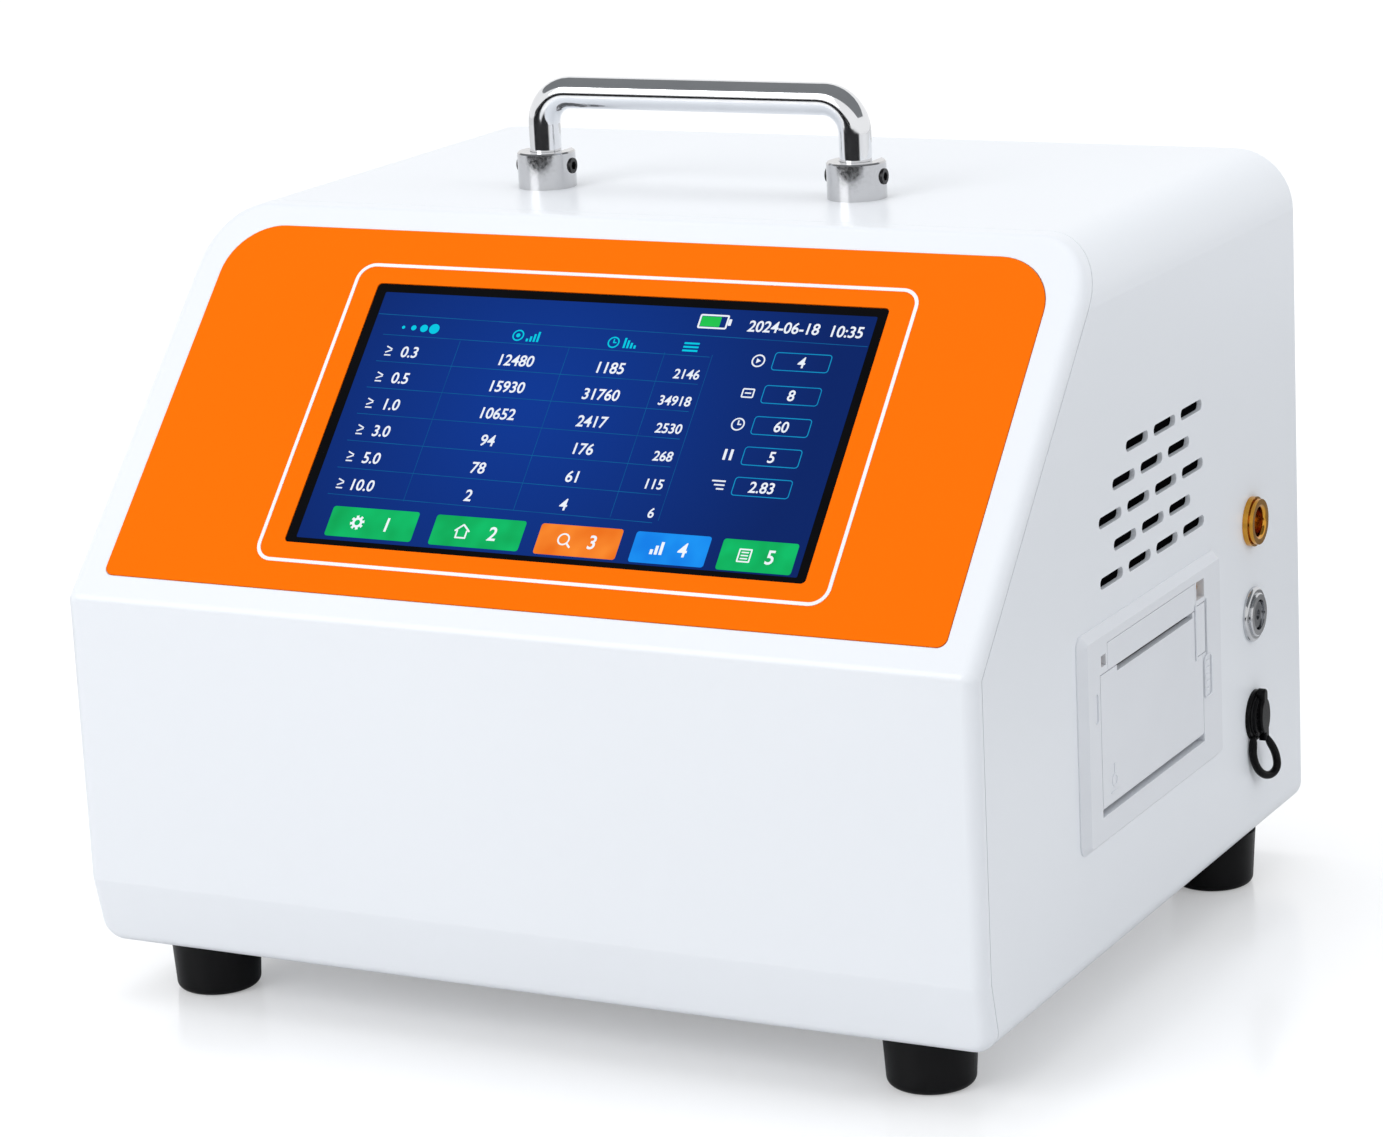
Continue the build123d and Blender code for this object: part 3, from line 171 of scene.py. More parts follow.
def pick(piece, kind, test):
    """Selects the corners, edges or faces that pass a test of their place and direction, in edit mode."""
    take(piece)
    bpy.ops.object.mode_set(mode="EDIT")
    bpy.ops.mesh.select_mode(type=kind)
    bpy.ops.mesh.select_all(action="DESELECT")
    bpy.ops.object.mode_set(mode="OBJECT")
    mesh = piece.data
    if kind == "VERT":
        for corner in mesh.vertices:
            corner.select = test(corner.co, corner.normal)
    elif kind == "EDGE":
        for edge in mesh.edges:
            a, b = (mesh.vertices[i].co for i in edge.vertices)
            edge.select = test((a + b) / 2, b - a)
    else:
        for face in mesh.polygons:
            face.select = test(face.center, face.normal)
    bpy.ops.object.mode_set(mode="EDIT")


def close_up(piece, thickness):
    """Thickens a flat piece upwards and turns its faces outwards."""
    take(piece)
    bpy.ops.object.mode_set(mode="EDIT")
    bpy.ops.mesh.select_all(action="SELECT")
    bpy.ops.mesh.extrude_region_move(TRANSFORM_OT_translate={"value": (0, 0, thickness)})
    bpy.ops.mesh.select_all(action="SELECT")
    bpy.ops.mesh.normals_make_consistent(inside=False)
    bpy.ops.object.mode_set(mode="OBJECT")
    return piece


def settle(piece, place=None):
    """Moves a piece to its place and puts that place into its mesh."""
    if place is not None:
        piece.matrix_world = place @ piece.matrix_world
    take(piece)
    bpy.ops.object.transform_apply(location=True, rotation=True, scale=True)
    return piece


def merge(name, pieces):
    """Joins like pieces into one."""
    take(pieces[0])
    for piece in pieces:
        piece.select_set(True)
    if len(pieces) > 1:
        bpy.ops.object.join()
    return fresh(name)


def plate(width, height, thickness, radius=0.0, rim=0.0):
    """Flat plate with rounded corners, or its outline where a rim is given."""
    bpy.ops.mesh.primitive_plane_add(size=1)
    piece = bpy.context.object
    bpy.ops.object.mode_set(mode="EDIT")
    bpy.ops.transform.resize(value=(width, height, 1), center_override=(0, 0, 0))
    if radius:
        bpy.ops.mesh.bevel(affect="VERTICES", offset=radius, segments=CORNER_STEPS)
    if rim:
        bpy.ops.mesh.inset(thickness=rim)
        bpy.ops.mesh.delete(type="FACE")
    bpy.ops.object.mode_set(mode="OBJECT")
    return close_up(piece, thickness)


def ring(inner, outer, thickness, sides=32, teeth=0.0):
    """Flat ring, with teeth standing out from every second side where their length is given."""
    bpy.ops.mesh.primitive_circle_add(vertices=sides, radius=inner, fill_type="NOTHING")
    piece = bpy.context.object
    bpy.ops.object.mode_set(mode="EDIT")
    bpy.ops.mesh.select_all(action="SELECT")
    bpy.ops.mesh.extrude_edges_move()
    bpy.ops.transform.resize(value=(outer / inner, outer / inner, 1), center_override=(0, 0, 0))
    bpy.ops.object.mode_set(mode="OBJECT")
    if teeth:
        step = 4 * math.pi / sides
        rim = outer * math.cos(math.pi / sides) * 0.98
        pick(
            piece,
            "EDGE",
            lambda mid, way: mid.length > rim and (math.atan2(mid.y, mid.x) % step) < step / 2,
        )
        bpy.ops.mesh.extrude_edges_move()
        bpy.ops.transform.resize(
            value=(1 + teeth / outer, 1 + teeth / outer, 1), center_override=(0, 0, 0)
        )
        bpy.ops.object.mode_set(mode="OBJECT")
    return close_up(piece, thickness)


def disc(radius, thickness, sides=24):
    """Flat round plate."""
    bpy.ops.mesh.primitive_circle_add(vertices=sides, radius=radius, fill_type="NGON")
    return close_up(bpy.context.object, thickness)


def figures(text, height, align="CENTER"):
    """Plain figures of a given height, as a thin solid lying on XY."""
    bpy.ops.object.text_add()
    piece = bpy.context.object
    letters = piece.data
    letters.body = text
    letters.size = 1
    letters.align_x = align
    letters.align_y = "CENTER"
    letters.offset = FIGURE_WEIGHT
    letters.shear = FIGURE_SLANT
    letters.resolution_u = 4
    letters.extrude = FIGURE_DEPTH
    bpy.ops.object.convert(target="MESH")
    piece = bpy.context.object
    rises = [v.co.y for v in piece.data.vertices]
    scale = height / (max(rises) - min(rises))
    middle = (max(rises) + min(rises)) / 2
    bpy.ops.object.mode_set(mode="EDIT")
    bpy.ops.mesh.select_all(action="SELECT")
    bpy.ops.transform.translate(value=(0, -middle, 0))
    bpy.ops.transform.resize(value=(scale * FIGURE_WIDTH, scale, scale), center_override=(0, 0, 0))
    bpy.ops.object.mode_set(mode="OBJECT")
    return piece


# ---------------------------------------------------------------- material helpers
RING_SPACING = 3.2
PICTURE_ROUGHNESS = (0.12 - 0.03, 0.12 + 0.03)
PICTURE_SPECULAR = 0.06


def blank(name):
    """An empty node material with a Principled shader."""
    material = bpy.data.materials.new(name)
    material.use_nodes = True
    tree = material.node_tree
    tree.nodes.clear()
    output = tree.nodes.new("ShaderNodeOutputMaterial")
    shader = tree.nodes.new("ShaderNodeBsdfPrincipled")
    tree.links.new(shader.outputs["BSDF"], output.inputs["Surface"])
    return material, tree, shader


def placed(tree, shift=(0, 0, 0), turn=(0, 0, 0), scale=(1, 1, 1)):
    """Object coordinates moved, turned and stretched for a pattern."""
    place = tree.nodes.new("ShaderNodeTexCoord")
    mapping = tree.nodes.new("ShaderNodeMapping")
    mapping.inputs["Location"].default_value = shift
    mapping.inputs["Rotation"].default_value = turn
    mapping.inputs["Scale"].default_value = scale
    tree.links.new(place.outputs["Object"], mapping.inputs["Vector"])
    return mapping.outputs["Vector"]


def noise(tree, vector, scale, detail=2.0, rough=0.5):
    """Noise pattern value."""
    node = tree.nodes.new("ShaderNodeTexNoise")
    node.inputs["Scale"].default_value = scale
    node.inputs["Detail"].default_value = detail
    node.inputs["Roughness"].default_value = rough
    tree.links.new(vector, node.inputs["Vector"])
    return node.outputs["Fac"]


def spread(tree, value, low, high, from_low=0.3, from_high=0.7):
    """Stretches a value between two numbers."""
    node = tree.nodes.new("ShaderNodeMapRange")
    node.inputs["From Min"].default_value = from_low
    node.inputs["From Max"].default_value = from_high
    node.inputs["To Min"].default_value = low
    node.inputs["To Max"].default_value = high
    tree.links.new(value, node.inputs["Value"])
    return node.outputs["Result"]


def blend_colours(tree, value, first, second):
    """Mixes two colours by a value."""
    node = tree.nodes.new("ShaderNodeMix")
    node.data_type = "RGBA"
    node.inputs["A"].default_value = (*first, 1)
    node.inputs["B"].default_value = (*second, 1)
    tree.links.new(value, node.inputs["Factor"])
    return node.outputs["Result"]


def reckon(tree, operation, first, second):
    """Reckons with two values, each a socket or a number."""
    node = tree.nodes.new("ShaderNodeMath")
    node.operation = operation
    for number, value in enumerate((first, second)):
        if isinstance(value, (int, float)):
            node.inputs[number].default_value = value
        else:
            tree.links.new(value, node.inputs[number])
    return node.outputs["Value"]


def bump(tree, shader, height, depth, strength=1.0):
    """Fine relief from a height."""
    node = tree.nodes.new("ShaderNodeBump")
    node.inputs["Strength"].default_value = strength
    node.inputs["Distance"].default_value = depth
    tree.links.new(height, node.inputs["Height"])
    tree.links.new(node.outputs["Normal"], shader.inputs["Normal"])


def surface(
    name, colour, other, rough, rough_spread, grain, depth, metal=0.0, cloud=18.0, specular=0.5,
    stretch=(1, 1, 1),
):
    """A finish with cloudy colour, uneven gloss and fine grain."""
    material, tree, shader = blank(name)
    vector = placed(tree)
    clouds = noise(tree, vector, cloud, 3)
    colours = blend_colours(tree, spread(tree, clouds, 0, 1), colour, other)
    tree.links.new(colours, shader.inputs["Base Color"])
    grains = noise(tree, placed(tree, scale=stretch), grain, 2)
    tree.links.new(
        spread(tree, grains, rough - rough_spread, rough + rough_spread), shader.inputs["Roughness"]
    )
    bump(tree, shader, grains, depth)
    shader.inputs["Metallic"].default_value = metal
    shader.inputs["Specular IOR Level"].default_value = specular
    return material


def turned(name, colour, rough, centre, axis, pitch, depth, stain=0.85):
    """Lathe-turned metal: fine rings round an axis, and a slight stain."""
    material, tree, shader = blank(name)
    vector = placed(tree, shift=tuple(-c for c in centre))
    waves = tree.nodes.new("ShaderNodeTexWave")
    waves.wave_type = "RINGS"
    waves.rings_direction = axis
    waves.inputs["Scale"].default_value = 1 / pitch / RING_SPACING
    waves.inputs["Distortion"].default_value = 0.6
    waves.inputs["Detail"].default_value = 2
    tree.links.new(vector, waves.inputs["Vector"])
    stains = spread(tree, noise(tree, vector, 260, 4), 0, 1)
    tree.links.new(
        blend_colours(tree, stains, colour, tuple(c * stain for c in colour)), shader.inputs["Base Color"]
    )
    tree.links.new(
        spread(tree, noise(tree, vector, 900, 3), rough - 0.05, rough + 0.07), shader.inputs["Roughness"]
    )
    bump(tree, shader, waves.outputs["Fac"], depth, 0.5)
    shader.inputs["Metallic"].default_value = 1
    return material


def lit(name, colour, other, strength, across=0.0, centre=(0, 0, 0)):
    """Part of the lit picture behind the glass, with its colour running between two tones."""
    material, tree, shader = blank(name)
    vector = placed(tree, shift=tuple(-c for c in centre))
    if across:
        split = tree.nodes.new("ShaderNodeVectorMath")
        split.operation = "LENGTH"
        tree.links.new(vector, split.inputs[0])
        value = spread(tree, split.outputs["Value"], 0, 1, 0, across)
    else:
        value = spread(tree, noise(tree, vector, 120, 1), 0, 1)
    colours = blend_colours(tree, value, colour, other)
    tree.links.new(colours, shader.inputs["Emission Color"])
    shader.inputs["Emission Strength"].default_value = strength
    shader.inputs["Base Color"].default_value = (0.002, 0.002, 0.003, 1)
    tree.links.new(
        spread(tree, noise(tree, vector, 400, 2), *PICTURE_ROUGHNESS), shader.inputs["Roughness"]
    )
    shader.inputs["Specular IOR Level"].default_value = PICTURE_SPECULAR
    return material


def paint(material, *names):
    """Gives CAD pieces a finish through their own material slot."""
    for name in names:
        node = NODES[name]
        if not node.material_slots:
            node.data.materials.append(material)
        for number in range(len(node.material_slots)):
            node.material_slots[number].material = material


def coat(piece, material, body="housing"):
    """Gives a new piece its finish and its body."""
    piece.data.materials.clear()
    piece.data.materials.append(material)
    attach(piece, body)
    return piece


def named(start):
    """CAD pieces whose names begin alike."""
    return [name for name in NODES if name.startswith(start)]


def panel_place():
    """Frame of the lit picture: X across, Y up the slope, Z out of the glass."""
    sizes = bpy.context.scene.counter_display
    up = Vector((0, sizes.slope_run, sizes.slope_rise)).normalized()
    across = Vector((1, 0, 0))
    out = across.cross(up)
    low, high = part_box("touch_glass")
    middle = (low + high) / 2
    face = max(v.co.dot(out) for v in NODES["touch_glass"].data.vertices)
    origin = middle + out * (face - middle.dot(out)) + across * sizes.offset_across + up * sizes.offset_up
    place = Matrix((across, up, out)).transposed().to_4x4()
    place.translation = origin
    return place


def on_panel(piece, u, v, lift, turn=0.0):
    """Lays a flat piece on the lit picture; u and v are in millimetres from its middle."""
    spot = Matrix.Translation((u * MM, v * MM, lift * MM)) @ Matrix.Rotation(math.radians(turn), 4, "Z")
    return settle(piece, panel_place() @ spot)


# ---------------------------------------------------------------- stage
FLOOR_LIFT = 0.27
LAMPS = (
    ("lamp_front", (-0.9, -1.9, 1.25), 1.4, 22.5),
    ("lamp_top", (-0.2, 0.3, 2.1), 1.8, 12.0),
    ("lamp_side", (2.1, 0.2, 1.1), 1.2, 9.0),
)
LAMP_TARGET = (0, 0, 0.12)
# name, place, width, height and glow of the cards that only mirror-like finishes show
CARDS = (
    ("card_far", (-2.0, -4.0, 0.2), 5.2, 0.34, 0.0),
    ("card_over", (0.2, 0.1, 1.6), 6.4, 3.0, 0.23),
)
# degrees from the front and darkness, for the floor as mirror-like finishes show it
NEAR_SECTORS = (
    (-180, 0.75), (-72, 0.65), (-56, 0.0), (-8, 0.0), (5, 0.97), (49, 0.97), (62, 0.0),
    (76, 0.0), (92, 0.6), (180, 0.7),
)
FAR_SECTORS = ((-66, 0.0), (-52, 0.98), (49, 0.97), (62, 0.0))
# metres from the middle over which the near sectors appear, and then give way to the far ones
NEAR_FROM = (0.3, 0.5)
FAR_FROM = (1.10, 1.18)


class COUNTER_OT_stage(bpy.types.Operator):
    """Sets up the floor, the lamps and the camera"""

    bl_idname = "counter.stage"
    bl_label = "Set Up Studio"

    def execute(self, context):
        sizes = context.scene.counter_stage
        self.floor(sizes)
        self.room(context, sizes)
        self.lamps()
        self.camera(context, sizes)
        return {"FINISHED"}

    def floor(self, sizes):
        bpy.ops.object.select_all(action="DESELECT")
        bpy.ops.mesh.primitive_circle_add(vertices=96, radius=sizes.floor_radius, fill_type="NGON")
        floor = fresh("studio_floor")
        material, tree, shader = blank("studio_floor")
        vector = placed(tree)
        tree.links.new(
            blend_colours(tree, noise(tree, vector, 3, 2), (0.83, 0.83, 0.835), (0.81, 0.812, 0.82)),
            shader.inputs["Base Color"],
        )
        shader.inputs["Roughness"].default_value = 0.16
        shader.inputs["Specular IOR Level"].default_value = 0.35
        self.dark_sectors(tree, shader)
        path = tree.nodes.new("ShaderNodeLightPath")
        lift = reckon(tree, "MULTIPLY", path.outputs["Is Camera Ray"], FLOOR_LIFT)
        tree.links.new(lift, shader.inputs["Emission Strength"])
        shader.inputs["Emission Color"].default_value = (1, 1, 1, 1)
        floor.data.materials.append(material)

    def dark_sectors(self, tree, shader):
        """Grey and black sectors round the object, seen only in mirror-like finishes."""
        split = tree.nodes.new("ShaderNodeSeparateXYZ")
        tree.links.new(placed(tree), split.inputs["Vector"])
        ahead = reckon(tree, "MULTIPLY", split.outputs["Y"], -1)
        heading = reckon(tree, "ARCTAN2", split.outputs["X"], ahead)
        turn = spread(tree, heading, 0, 1, -math.pi, math.pi)
        length = tree.nodes.new("ShaderNodeVectorMath")
        length.operation = "LENGTH"
        tree.links.new(placed(tree), length.inputs[0])
        far = tree.nodes.new("ShaderNodeMix")
        distance = length.outputs["Value"]
        tree.links.new(spread(tree, distance, 0, 1, *FAR_FROM), far.inputs["Factor"])
        tree.links.new(self.sectors(tree, turn, NEAR_SECTORS), far.inputs["A"])
        tree.links.new(self.sectors(tree, turn, FAR_SECTORS), far.inputs["B"])
        near = reckon(tree, "MULTIPLY", far.outputs["Result"], spread(tree, distance, 0, 1, *NEAR_FROM))
        path = tree.nodes.new("ShaderNodeLightPath")
        mirrored = reckon(tree, "MULTIPLY", near, path.outputs["Is Glossy Ray"])
        black = tree.nodes.new("ShaderNodeBsdfDiffuse")
        black.inputs["Color"].default_value = (0.004, 0.004, 0.005, 1)
        mix = tree.nodes.new("ShaderNodeMixShader")
        output = next(node for node in tree.nodes if node.type == "OUTPUT_MATERIAL")
        tree.links.new(mirrored, mix.inputs["Fac"])
        tree.links.new(shader.outputs["BSDF"], mix.inputs[1])
        tree.links.new(black.outputs["BSDF"], mix.inputs[2])
        tree.links.new(mix.outputs["Shader"], output.inputs["Surface"])

    def sectors(self, tree, turn, stops):
        """A darkness for every heading, given at angles from the front."""
        node = tree.nodes.new("ShaderNodeValToRGB")
        ramp = node.color_ramp
        ramp.interpolation = "EASE"
        ramp.elements.remove(ramp.elements[-1])
        for number, (angle, dark) in enumerate(stops):
            place = (angle + 180) / 360
            step = ramp.elements[0] if number == 0 else ramp.elements.new(place)
            step.position = place
            step.color = (dark, dark, dark, 1)
        tree.links.new(turn, node.inputs["Fac"])
        return node.outputs["Color"]

    def room(self, context, sizes):
        world = bpy.data.worlds.new("studio_room")
        context.scene.world = world
        world.use_nodes = True
        tree = world.node_tree
        tree.nodes.clear()
        output = tree.nodes.new("ShaderNodeOutputWorld")
        light = tree.nodes.new("ShaderNodeBackground")
        seen = tree.nodes.new("ShaderNodeBackground")
        mix = tree.nodes.new("ShaderNodeMixShader")
        path = tree.nodes.new("ShaderNodeLightPath")
        either = reckon(tree, "MAXIMUM", path.outputs["Is Camera Ray"], path.outputs["Is Glossy Ray"])
        clear = reckon(tree, "MAXIMUM", either, path.outputs["Is Transmission Ray"])
        tree.links.new(clear, mix.inputs["Fac"])
        light.inputs["Color"].default_value = (0.95, 0.975, 1.0, 1)
        light.inputs["Strength"].default_value = sizes.room_light
        seen.inputs["Color"].default_value = (1, 1, 1, 1)
        seen.inputs["Strength"].default_value = 1.0
        tree.links.new(light.outputs["Background"], mix.inputs[1])
        tree.links.new(seen.outputs["Background"], mix.inputs[2])
        tree.links.new(mix.outputs["Shader"], output.inputs["Surface"])

    def lamps(self):
        for name, place, width, power in LAMPS:
            bpy.ops.object.light_add(type="AREA", location=place)
            lamp = bpy.context.object
            lamp.name = name
            lamp.data.shape = "RECTANGLE"
            lamp.data.size = width
            lamp.data.size_y = width
            lamp.data.energy = power
            lamp.visible_glossy = name != "lamp_side"
            aim = Vector(LAMP_TARGET) - Vector(place)
            lamp.rotation_euler = aim.to_track_quat("-Z", "Y").to_euler()
        for name, place, width, height, tone in CARDS:
            bpy.ops.mesh.primitive_plane_add(size=1)
            card = fresh(name)
            bpy.ops.object.mode_set(mode="EDIT")
            bpy.ops.transform.resize(value=(width, height, 1), center_override=(0, 0, 0))
            bpy.ops.mesh.subdivide(number_cuts=2)
            bpy.ops.object.mode_set(mode="OBJECT")
            aim = Vector((0, 0, -1)) if name == "card_over" else Vector((-place[0], -place[1], 0))
            turn = aim.to_track_quat("Z", "Y").to_matrix().to_4x4()
            settle(card, Matrix.Translation(place) @ turn)
            card.visible_camera = False
            card.visible_diffuse = False
            card.visible_shadow = False
            material, tree, shader = blank(name)
            shader.inputs["Base Color"].default_value = (0.01, 0.01, 0.012, 1)
            shader.inputs["Emission Color"].default_value = (0.93, 0.97, 1.0, 1)
            shader.inputs["Emission Strength"].default_value = tone
            shader.inputs["Specular IOR Level"].default_value = 0.0
            tree.links.new(
                spread(tree, noise(tree, placed(tree), 5), 0.8, 0.95), shader.inputs["Roughness"]
            )
            card.data.materials.append(material)

    def camera(self, context, sizes):
        bpy.ops.object.camera_add(location=sizes.camera_place, rotation=sizes.camera_turn)
        camera = bpy.context.object
        camera.name = "product_camera"
        camera.data.sensor_width = 36
        camera.data.lens = sizes.focal_length
        camera.data.shift_x = sizes.shift_x
        camera.data.shift_y = sizes.shift_y
        context.scene.camera = camera
        context.scene.view_settings.view_transform = "Standard"


# ---------------------------------------------------------------- finishes
class COUNTER_OT_housing(bpy.types.Operator):
    """Finishes the white housing, the feet and the display overlay"""

    bl_idname = "counter.housing"
    bl_label = "Finish Housing"

    def execute(self, context):
        colours = context.scene.counter_colours
        white = tuple(colours.white)
        shell = surface(
            "white_enamel", white, tuple(c * 0.985 for c in white), 0.3, 0.025, 700, 0.000002,
            cloud=6, specular=0.45,
        )
        paint(shell, "front_shell", "wrap_cover", "rear_panel")
        orange = tuple(colours.orange)
        overlay = surface(
            "orange_film", orange, tuple(c * 0.985 for c in orange), 0.36, 0.03, 4200, 0.000004,
            cloud=10, specular=0.04,
        )
        paint(overlay, "control_panel")
        line = surface(
            "silver_print", (0.95, 0.95, 0.96), (0.86, 0.87, 0.89), 0.3, 0.05, 2500, 0.000003, cloud=30,
        )
        paint(line, "panel_line")
        glass = surface(
            "black_glass", (0.0015, 0.0015, 0.002), (0.003, 0.003, 0.004), 0.1, 0.02, 300, 0.0000005,
            cloud=40, specular=0.12,
        )
        paint(glass, "touch_glass")
        rubber = surface(
            "black_rubber", (0.0035, 0.0035, 0.004), (0.006, 0.006, 0.0065), 0.36, 0.05, 1600, 0.000006,
            cloud=60, specular=0.12,
        )
        paint(rubber, "foot_1", "foot_2", "foot_3", "foot_4")
        screws = surface(
            "zinc_plate", (0.62, 0.63, 0.64), (0.52, 0.53, 0.54), 0.28, 0.06, 1500, 0.00001,
            metal=1, cloud=200,
        )
        paint(screws, *named("rear_screw_"), *named("foot_screw_"), *named("clamp_screw_"))
        return {"FINISHED"}


class COUNTER_OT_handle(bpy.types.Operator):
    """Finishes the chromed carrying handle, its turned bases and its pins"""

    bl_idname = "counter.handle"
    bl_label = "Finish Handle"

    def execute(self, context):
        chrome = surface(
            "polished_chrome", (0.80, 0.81, 0.83), (0.76, 0.77, 0.79), 0.085, 0.015, 500, 0.0000015,
            metal=1, cloud=70,
        )
        paint(chrome, "handle_bar")
        for side in ("left", "right"):
            low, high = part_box("handle_base_" + side)
            name, middle = "turned_base_" + side, (low + high) / 2
            steel = turned(name, (0.60, 0.60, 0.61), 0.14, middle, "Z", 0.00045, 0.000005, 0.95)
            paint(steel, "handle_base_" + side)
        black = surface(
            "black_oxide", (0.012, 0.012, 0.013), (0.03, 0.03, 0.032), 0.32, 0.06, 1500, 0.00001,
            metal=0.6, cloud=300,
        )
        paint(black, "handle_pin_left", "handle_pin_right")
        zinc = surface(
            "zinc_nuts", (0.62, 0.63, 0.64), (0.52, 0.53, 0.54), 0.3, 0.06, 1500, 0.00001, metal=1, cloud=200,
        )
        paint(zinc, "handle_nut_left", "handle_nut_right")
        return {"FINISHED"}


VENT_SKIN = 1.6 * MM
# size, thickness, gap and middle of the near-black sheet behind the vent slots, which is painted shade for
# the slots
VENT_SHADE_SIZE = (90.5 * MM, 46.4 * MM)
VENT_SHADE_THICKNESS = 0.6 * MM
VENT_SHADE_GAP = 0.05 * MM
VENT_SHADE_MIDDLE = (3.5 * MM, 150.3 * MM)


class COUNTER_OT_fittings(bpy.types.Operator):
    """Finishes the sampling inlet, the power switch and the charging port"""

    bl_idname = "counter.fittings"
    bl_label = "Finish Side Fittings"

    def execute(self, context):
        colours = context.scene.counter_colours
        low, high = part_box("inlet_fitting")
        middle = (low + high) / 2
        brass = turned("turned_brass", tuple(colours.brass), 0.16, middle, "X", 0.0004, 0.00002, 0.8)
        paint(brass, "inlet_fitting", "inlet_nut")
        low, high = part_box("switch_body")
        middle = (low + high) / 2
        steel = turned("turned_steel", (0.60, 0.61, 0.63), 0.12, middle, "X", 0.0004, 0.000005, 0.92)
        paint(steel, "switch_body", "switch_nut")
        low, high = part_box("switch_button")
        middle = (low + high) / 2
        button = turned("turned_button", (0.30, 0.31, 0.33), 0.16, middle, "X", 0.0004, 0.000008, 0.8)
        paint(button, "switch_button")
        plastic = surface(
            "black_plastic", (0.012, 0.012, 0.013), (0.02, 0.02, 0.021), 0.4, 0.06, 1400, 0.00002, cloud=80,
        )
        paint(plastic, "port_socket", "port_nut", "sample_pump")
        rubber = surface(
            "cap_rubber", (0.0025, 0.0025, 0.003), (0.004, 0.004, 0.0045), 0.24, 0.04, 1200, 0.000002,
            cloud=120, specular=0.1,
        )
        paint(rubber, "port_cap")
        self.vent_shade_sheet()
        return {"FINISHED"}

    def vent_shade_sheet(self):
        """Near-black sheet in the pocket behind the vent slots, with a thicker rim: painted shade that makes
        the slots look dark inside.
        """
        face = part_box("wrap_cover")[1].x
        sheet = plate(*VENT_SHADE_SIZE, VENT_SHADE_THICKNESS, 2.0 * MM)
        back = VENT_SHADE_THICKNESS * 0.5
        pick(sheet, "FACE", lambda mid, way: way.z < -0.9 and mid.z < back)
        bpy.ops.mesh.inset(thickness=2.0 * MM)
        bpy.ops.transform.translate(value=(0, 0, VENT_SHADE_THICKNESS * 0.5))
        bpy.ops.object.mode_set(mode="OBJECT")
        stand = Matrix(((0, 0, 1), (1, 0, 0), (0, 1, 0))).to_4x4()
        stand.translation = Vector((face - VENT_SKIN - VENT_SHADE_THICKNESS - VENT_SHADE_GAP, *VENT_SHADE_MIDDLE))
        settle(sheet, stand)
        sheet.name = "vent_shade_sheet"
        sheet.data.name = "vent_shade_sheet"
        # near-black matt finish of that sheet: painted shade seen through the vent slots
        shade_black = surface(
            "painted_vent_shade", (0.001, 0.001, 0.0012), (0.003, 0.003, 0.0035), 0.8, 0.1, 2200, 0.00004,
            cloud=300, specular=0.0,
        )
        coat(sheet, shade_black)


STRAP_ROOT = (1.45, -5.0)
STRAP_TURN = math.radians(70)
STRAP_WAY = Vector((math.cos(STRAP_TURN), math.sin(STRAP_TURN), 0))
STRAP_ROUTE = (
    (0.0, -5.9, 0.5), (0.0, -6.9, 0.95), (-0.2, -9.0, 1.0), (-0.4, -11.4, 1.0), (0.4, -14.6, 1.0),
    (2.5, -17.9, 1.0), (5.6, -20.0, 1.0), (9.0, -20.4, 1.0), (11.85, -18.4, 1.0), (10.9, -14.2, 1.0),
    (9.5, -11.4, 1.0), (7.5, -8.8, 1.0), (6.5, -7.2, 0.6),
)


class COUNTER_OT_strap(bpy.types.Operator):
    """Models the rubber ring and strap that hold the port cap"""

    bl_idname = "counter.strap"
    bl_label = "Model Cap Strap"

    def execute(self, context):
        sizes = context.scene.counter_strap
        low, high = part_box("port_socket")
        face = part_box("wrap_cover")[1].x
        middle = Vector((face, (low.y + high.y) / 2, (low.z + high.z) / 2))
        collar = self.collar(sizes, middle)
        strap = self.strap(sizes, middle)
        piece = merge("cap_strap", [collar, strap])
        take(piece)
        bpy.ops.object.shade_smooth_by_angle(angle=math.radians(40))
        rubber = surface(
            "strap_rubber", (0.0025, 0.0025, 0.003), (0.004, 0.004, 0.0045), 0.24, 0.04, 1200, 0.000002,
            cloud=120, specular=0.1,
        )
        piece.data.materials.clear()
        piece.data.materials.append(rubber)
        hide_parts("cap_tether")
        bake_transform(piece)
        return {"FINISHED"}

    def collar(self, sizes, middle):
        """Ring round the charging port, with a rounded rim."""
        collar = ring(sizes.ring_bore, sizes.ring_radius, sizes.ring_height, sides=64)
        rim = (sizes.ring_bore + sizes.ring_radius) / 2
        top = sizes.ring_height * 0.99
        pick(collar, "EDGE", lambda mid, way: mid.z > top and mid.length > rim and abs(way.dot(mid)) < 1e-9)
        bpy.ops.mesh.bevel(offset=0.4 * MM, segments=4)
        bpy.ops.object.mode_set(mode="OBJECT")
        turn = Matrix.Rotation(math.radians(90), 4, "Y")
        return settle(collar, Matrix.Translation(middle) @ turn)

    def strap(self, sizes, middle):
        """Round strap that hangs in a loop from the ring to the cap."""
        bpy.ops.curve.primitive_nurbs_path_add()
        path = bpy.context.object
        bpy.ops.object.mode_set(mode="EDIT")
        bpy.ops.curve.select_all(action="SELECT")
        bpy.ops.curve.subdivide(number_cuts=2)
        bpy.ops.object.mode_set(mode="OBJECT")
        root = middle + Vector((*STRAP_ROOT, 0)) * MM
        spline = path.data.splines[0]
        for point, (along, rise, girth) in zip(spline.points, STRAP_ROUTE, strict=True):
            spot = root + STRAP_WAY * along * MM + Vector((0, 0, rise * MM))
            point.co = (*spot, 1)
            point.radius = girth
        spline.order_u = 4
        spline.use_endpoint_u = True
        spline.resolution_u = 8
        path.data.bevel_depth = sizes.thickness / 2
        path.data.bevel_resolution = 6
        path.data.use_fill_caps = True
        take(path)
        bpy.ops.object.convert(target="MESH")
        strap = bpy.context.object
        bpy.ops.object.mode_set(mode="EDIT")
        bpy.ops.mesh.select_all(action="SELECT")
        bpy.ops.mesh.remove_doubles(threshold=0.000001)
        bpy.ops.mesh.normals_make_consistent(inside=False)
        bpy.ops.object.mode_set(mode="OBJECT")
        return settle(strap)


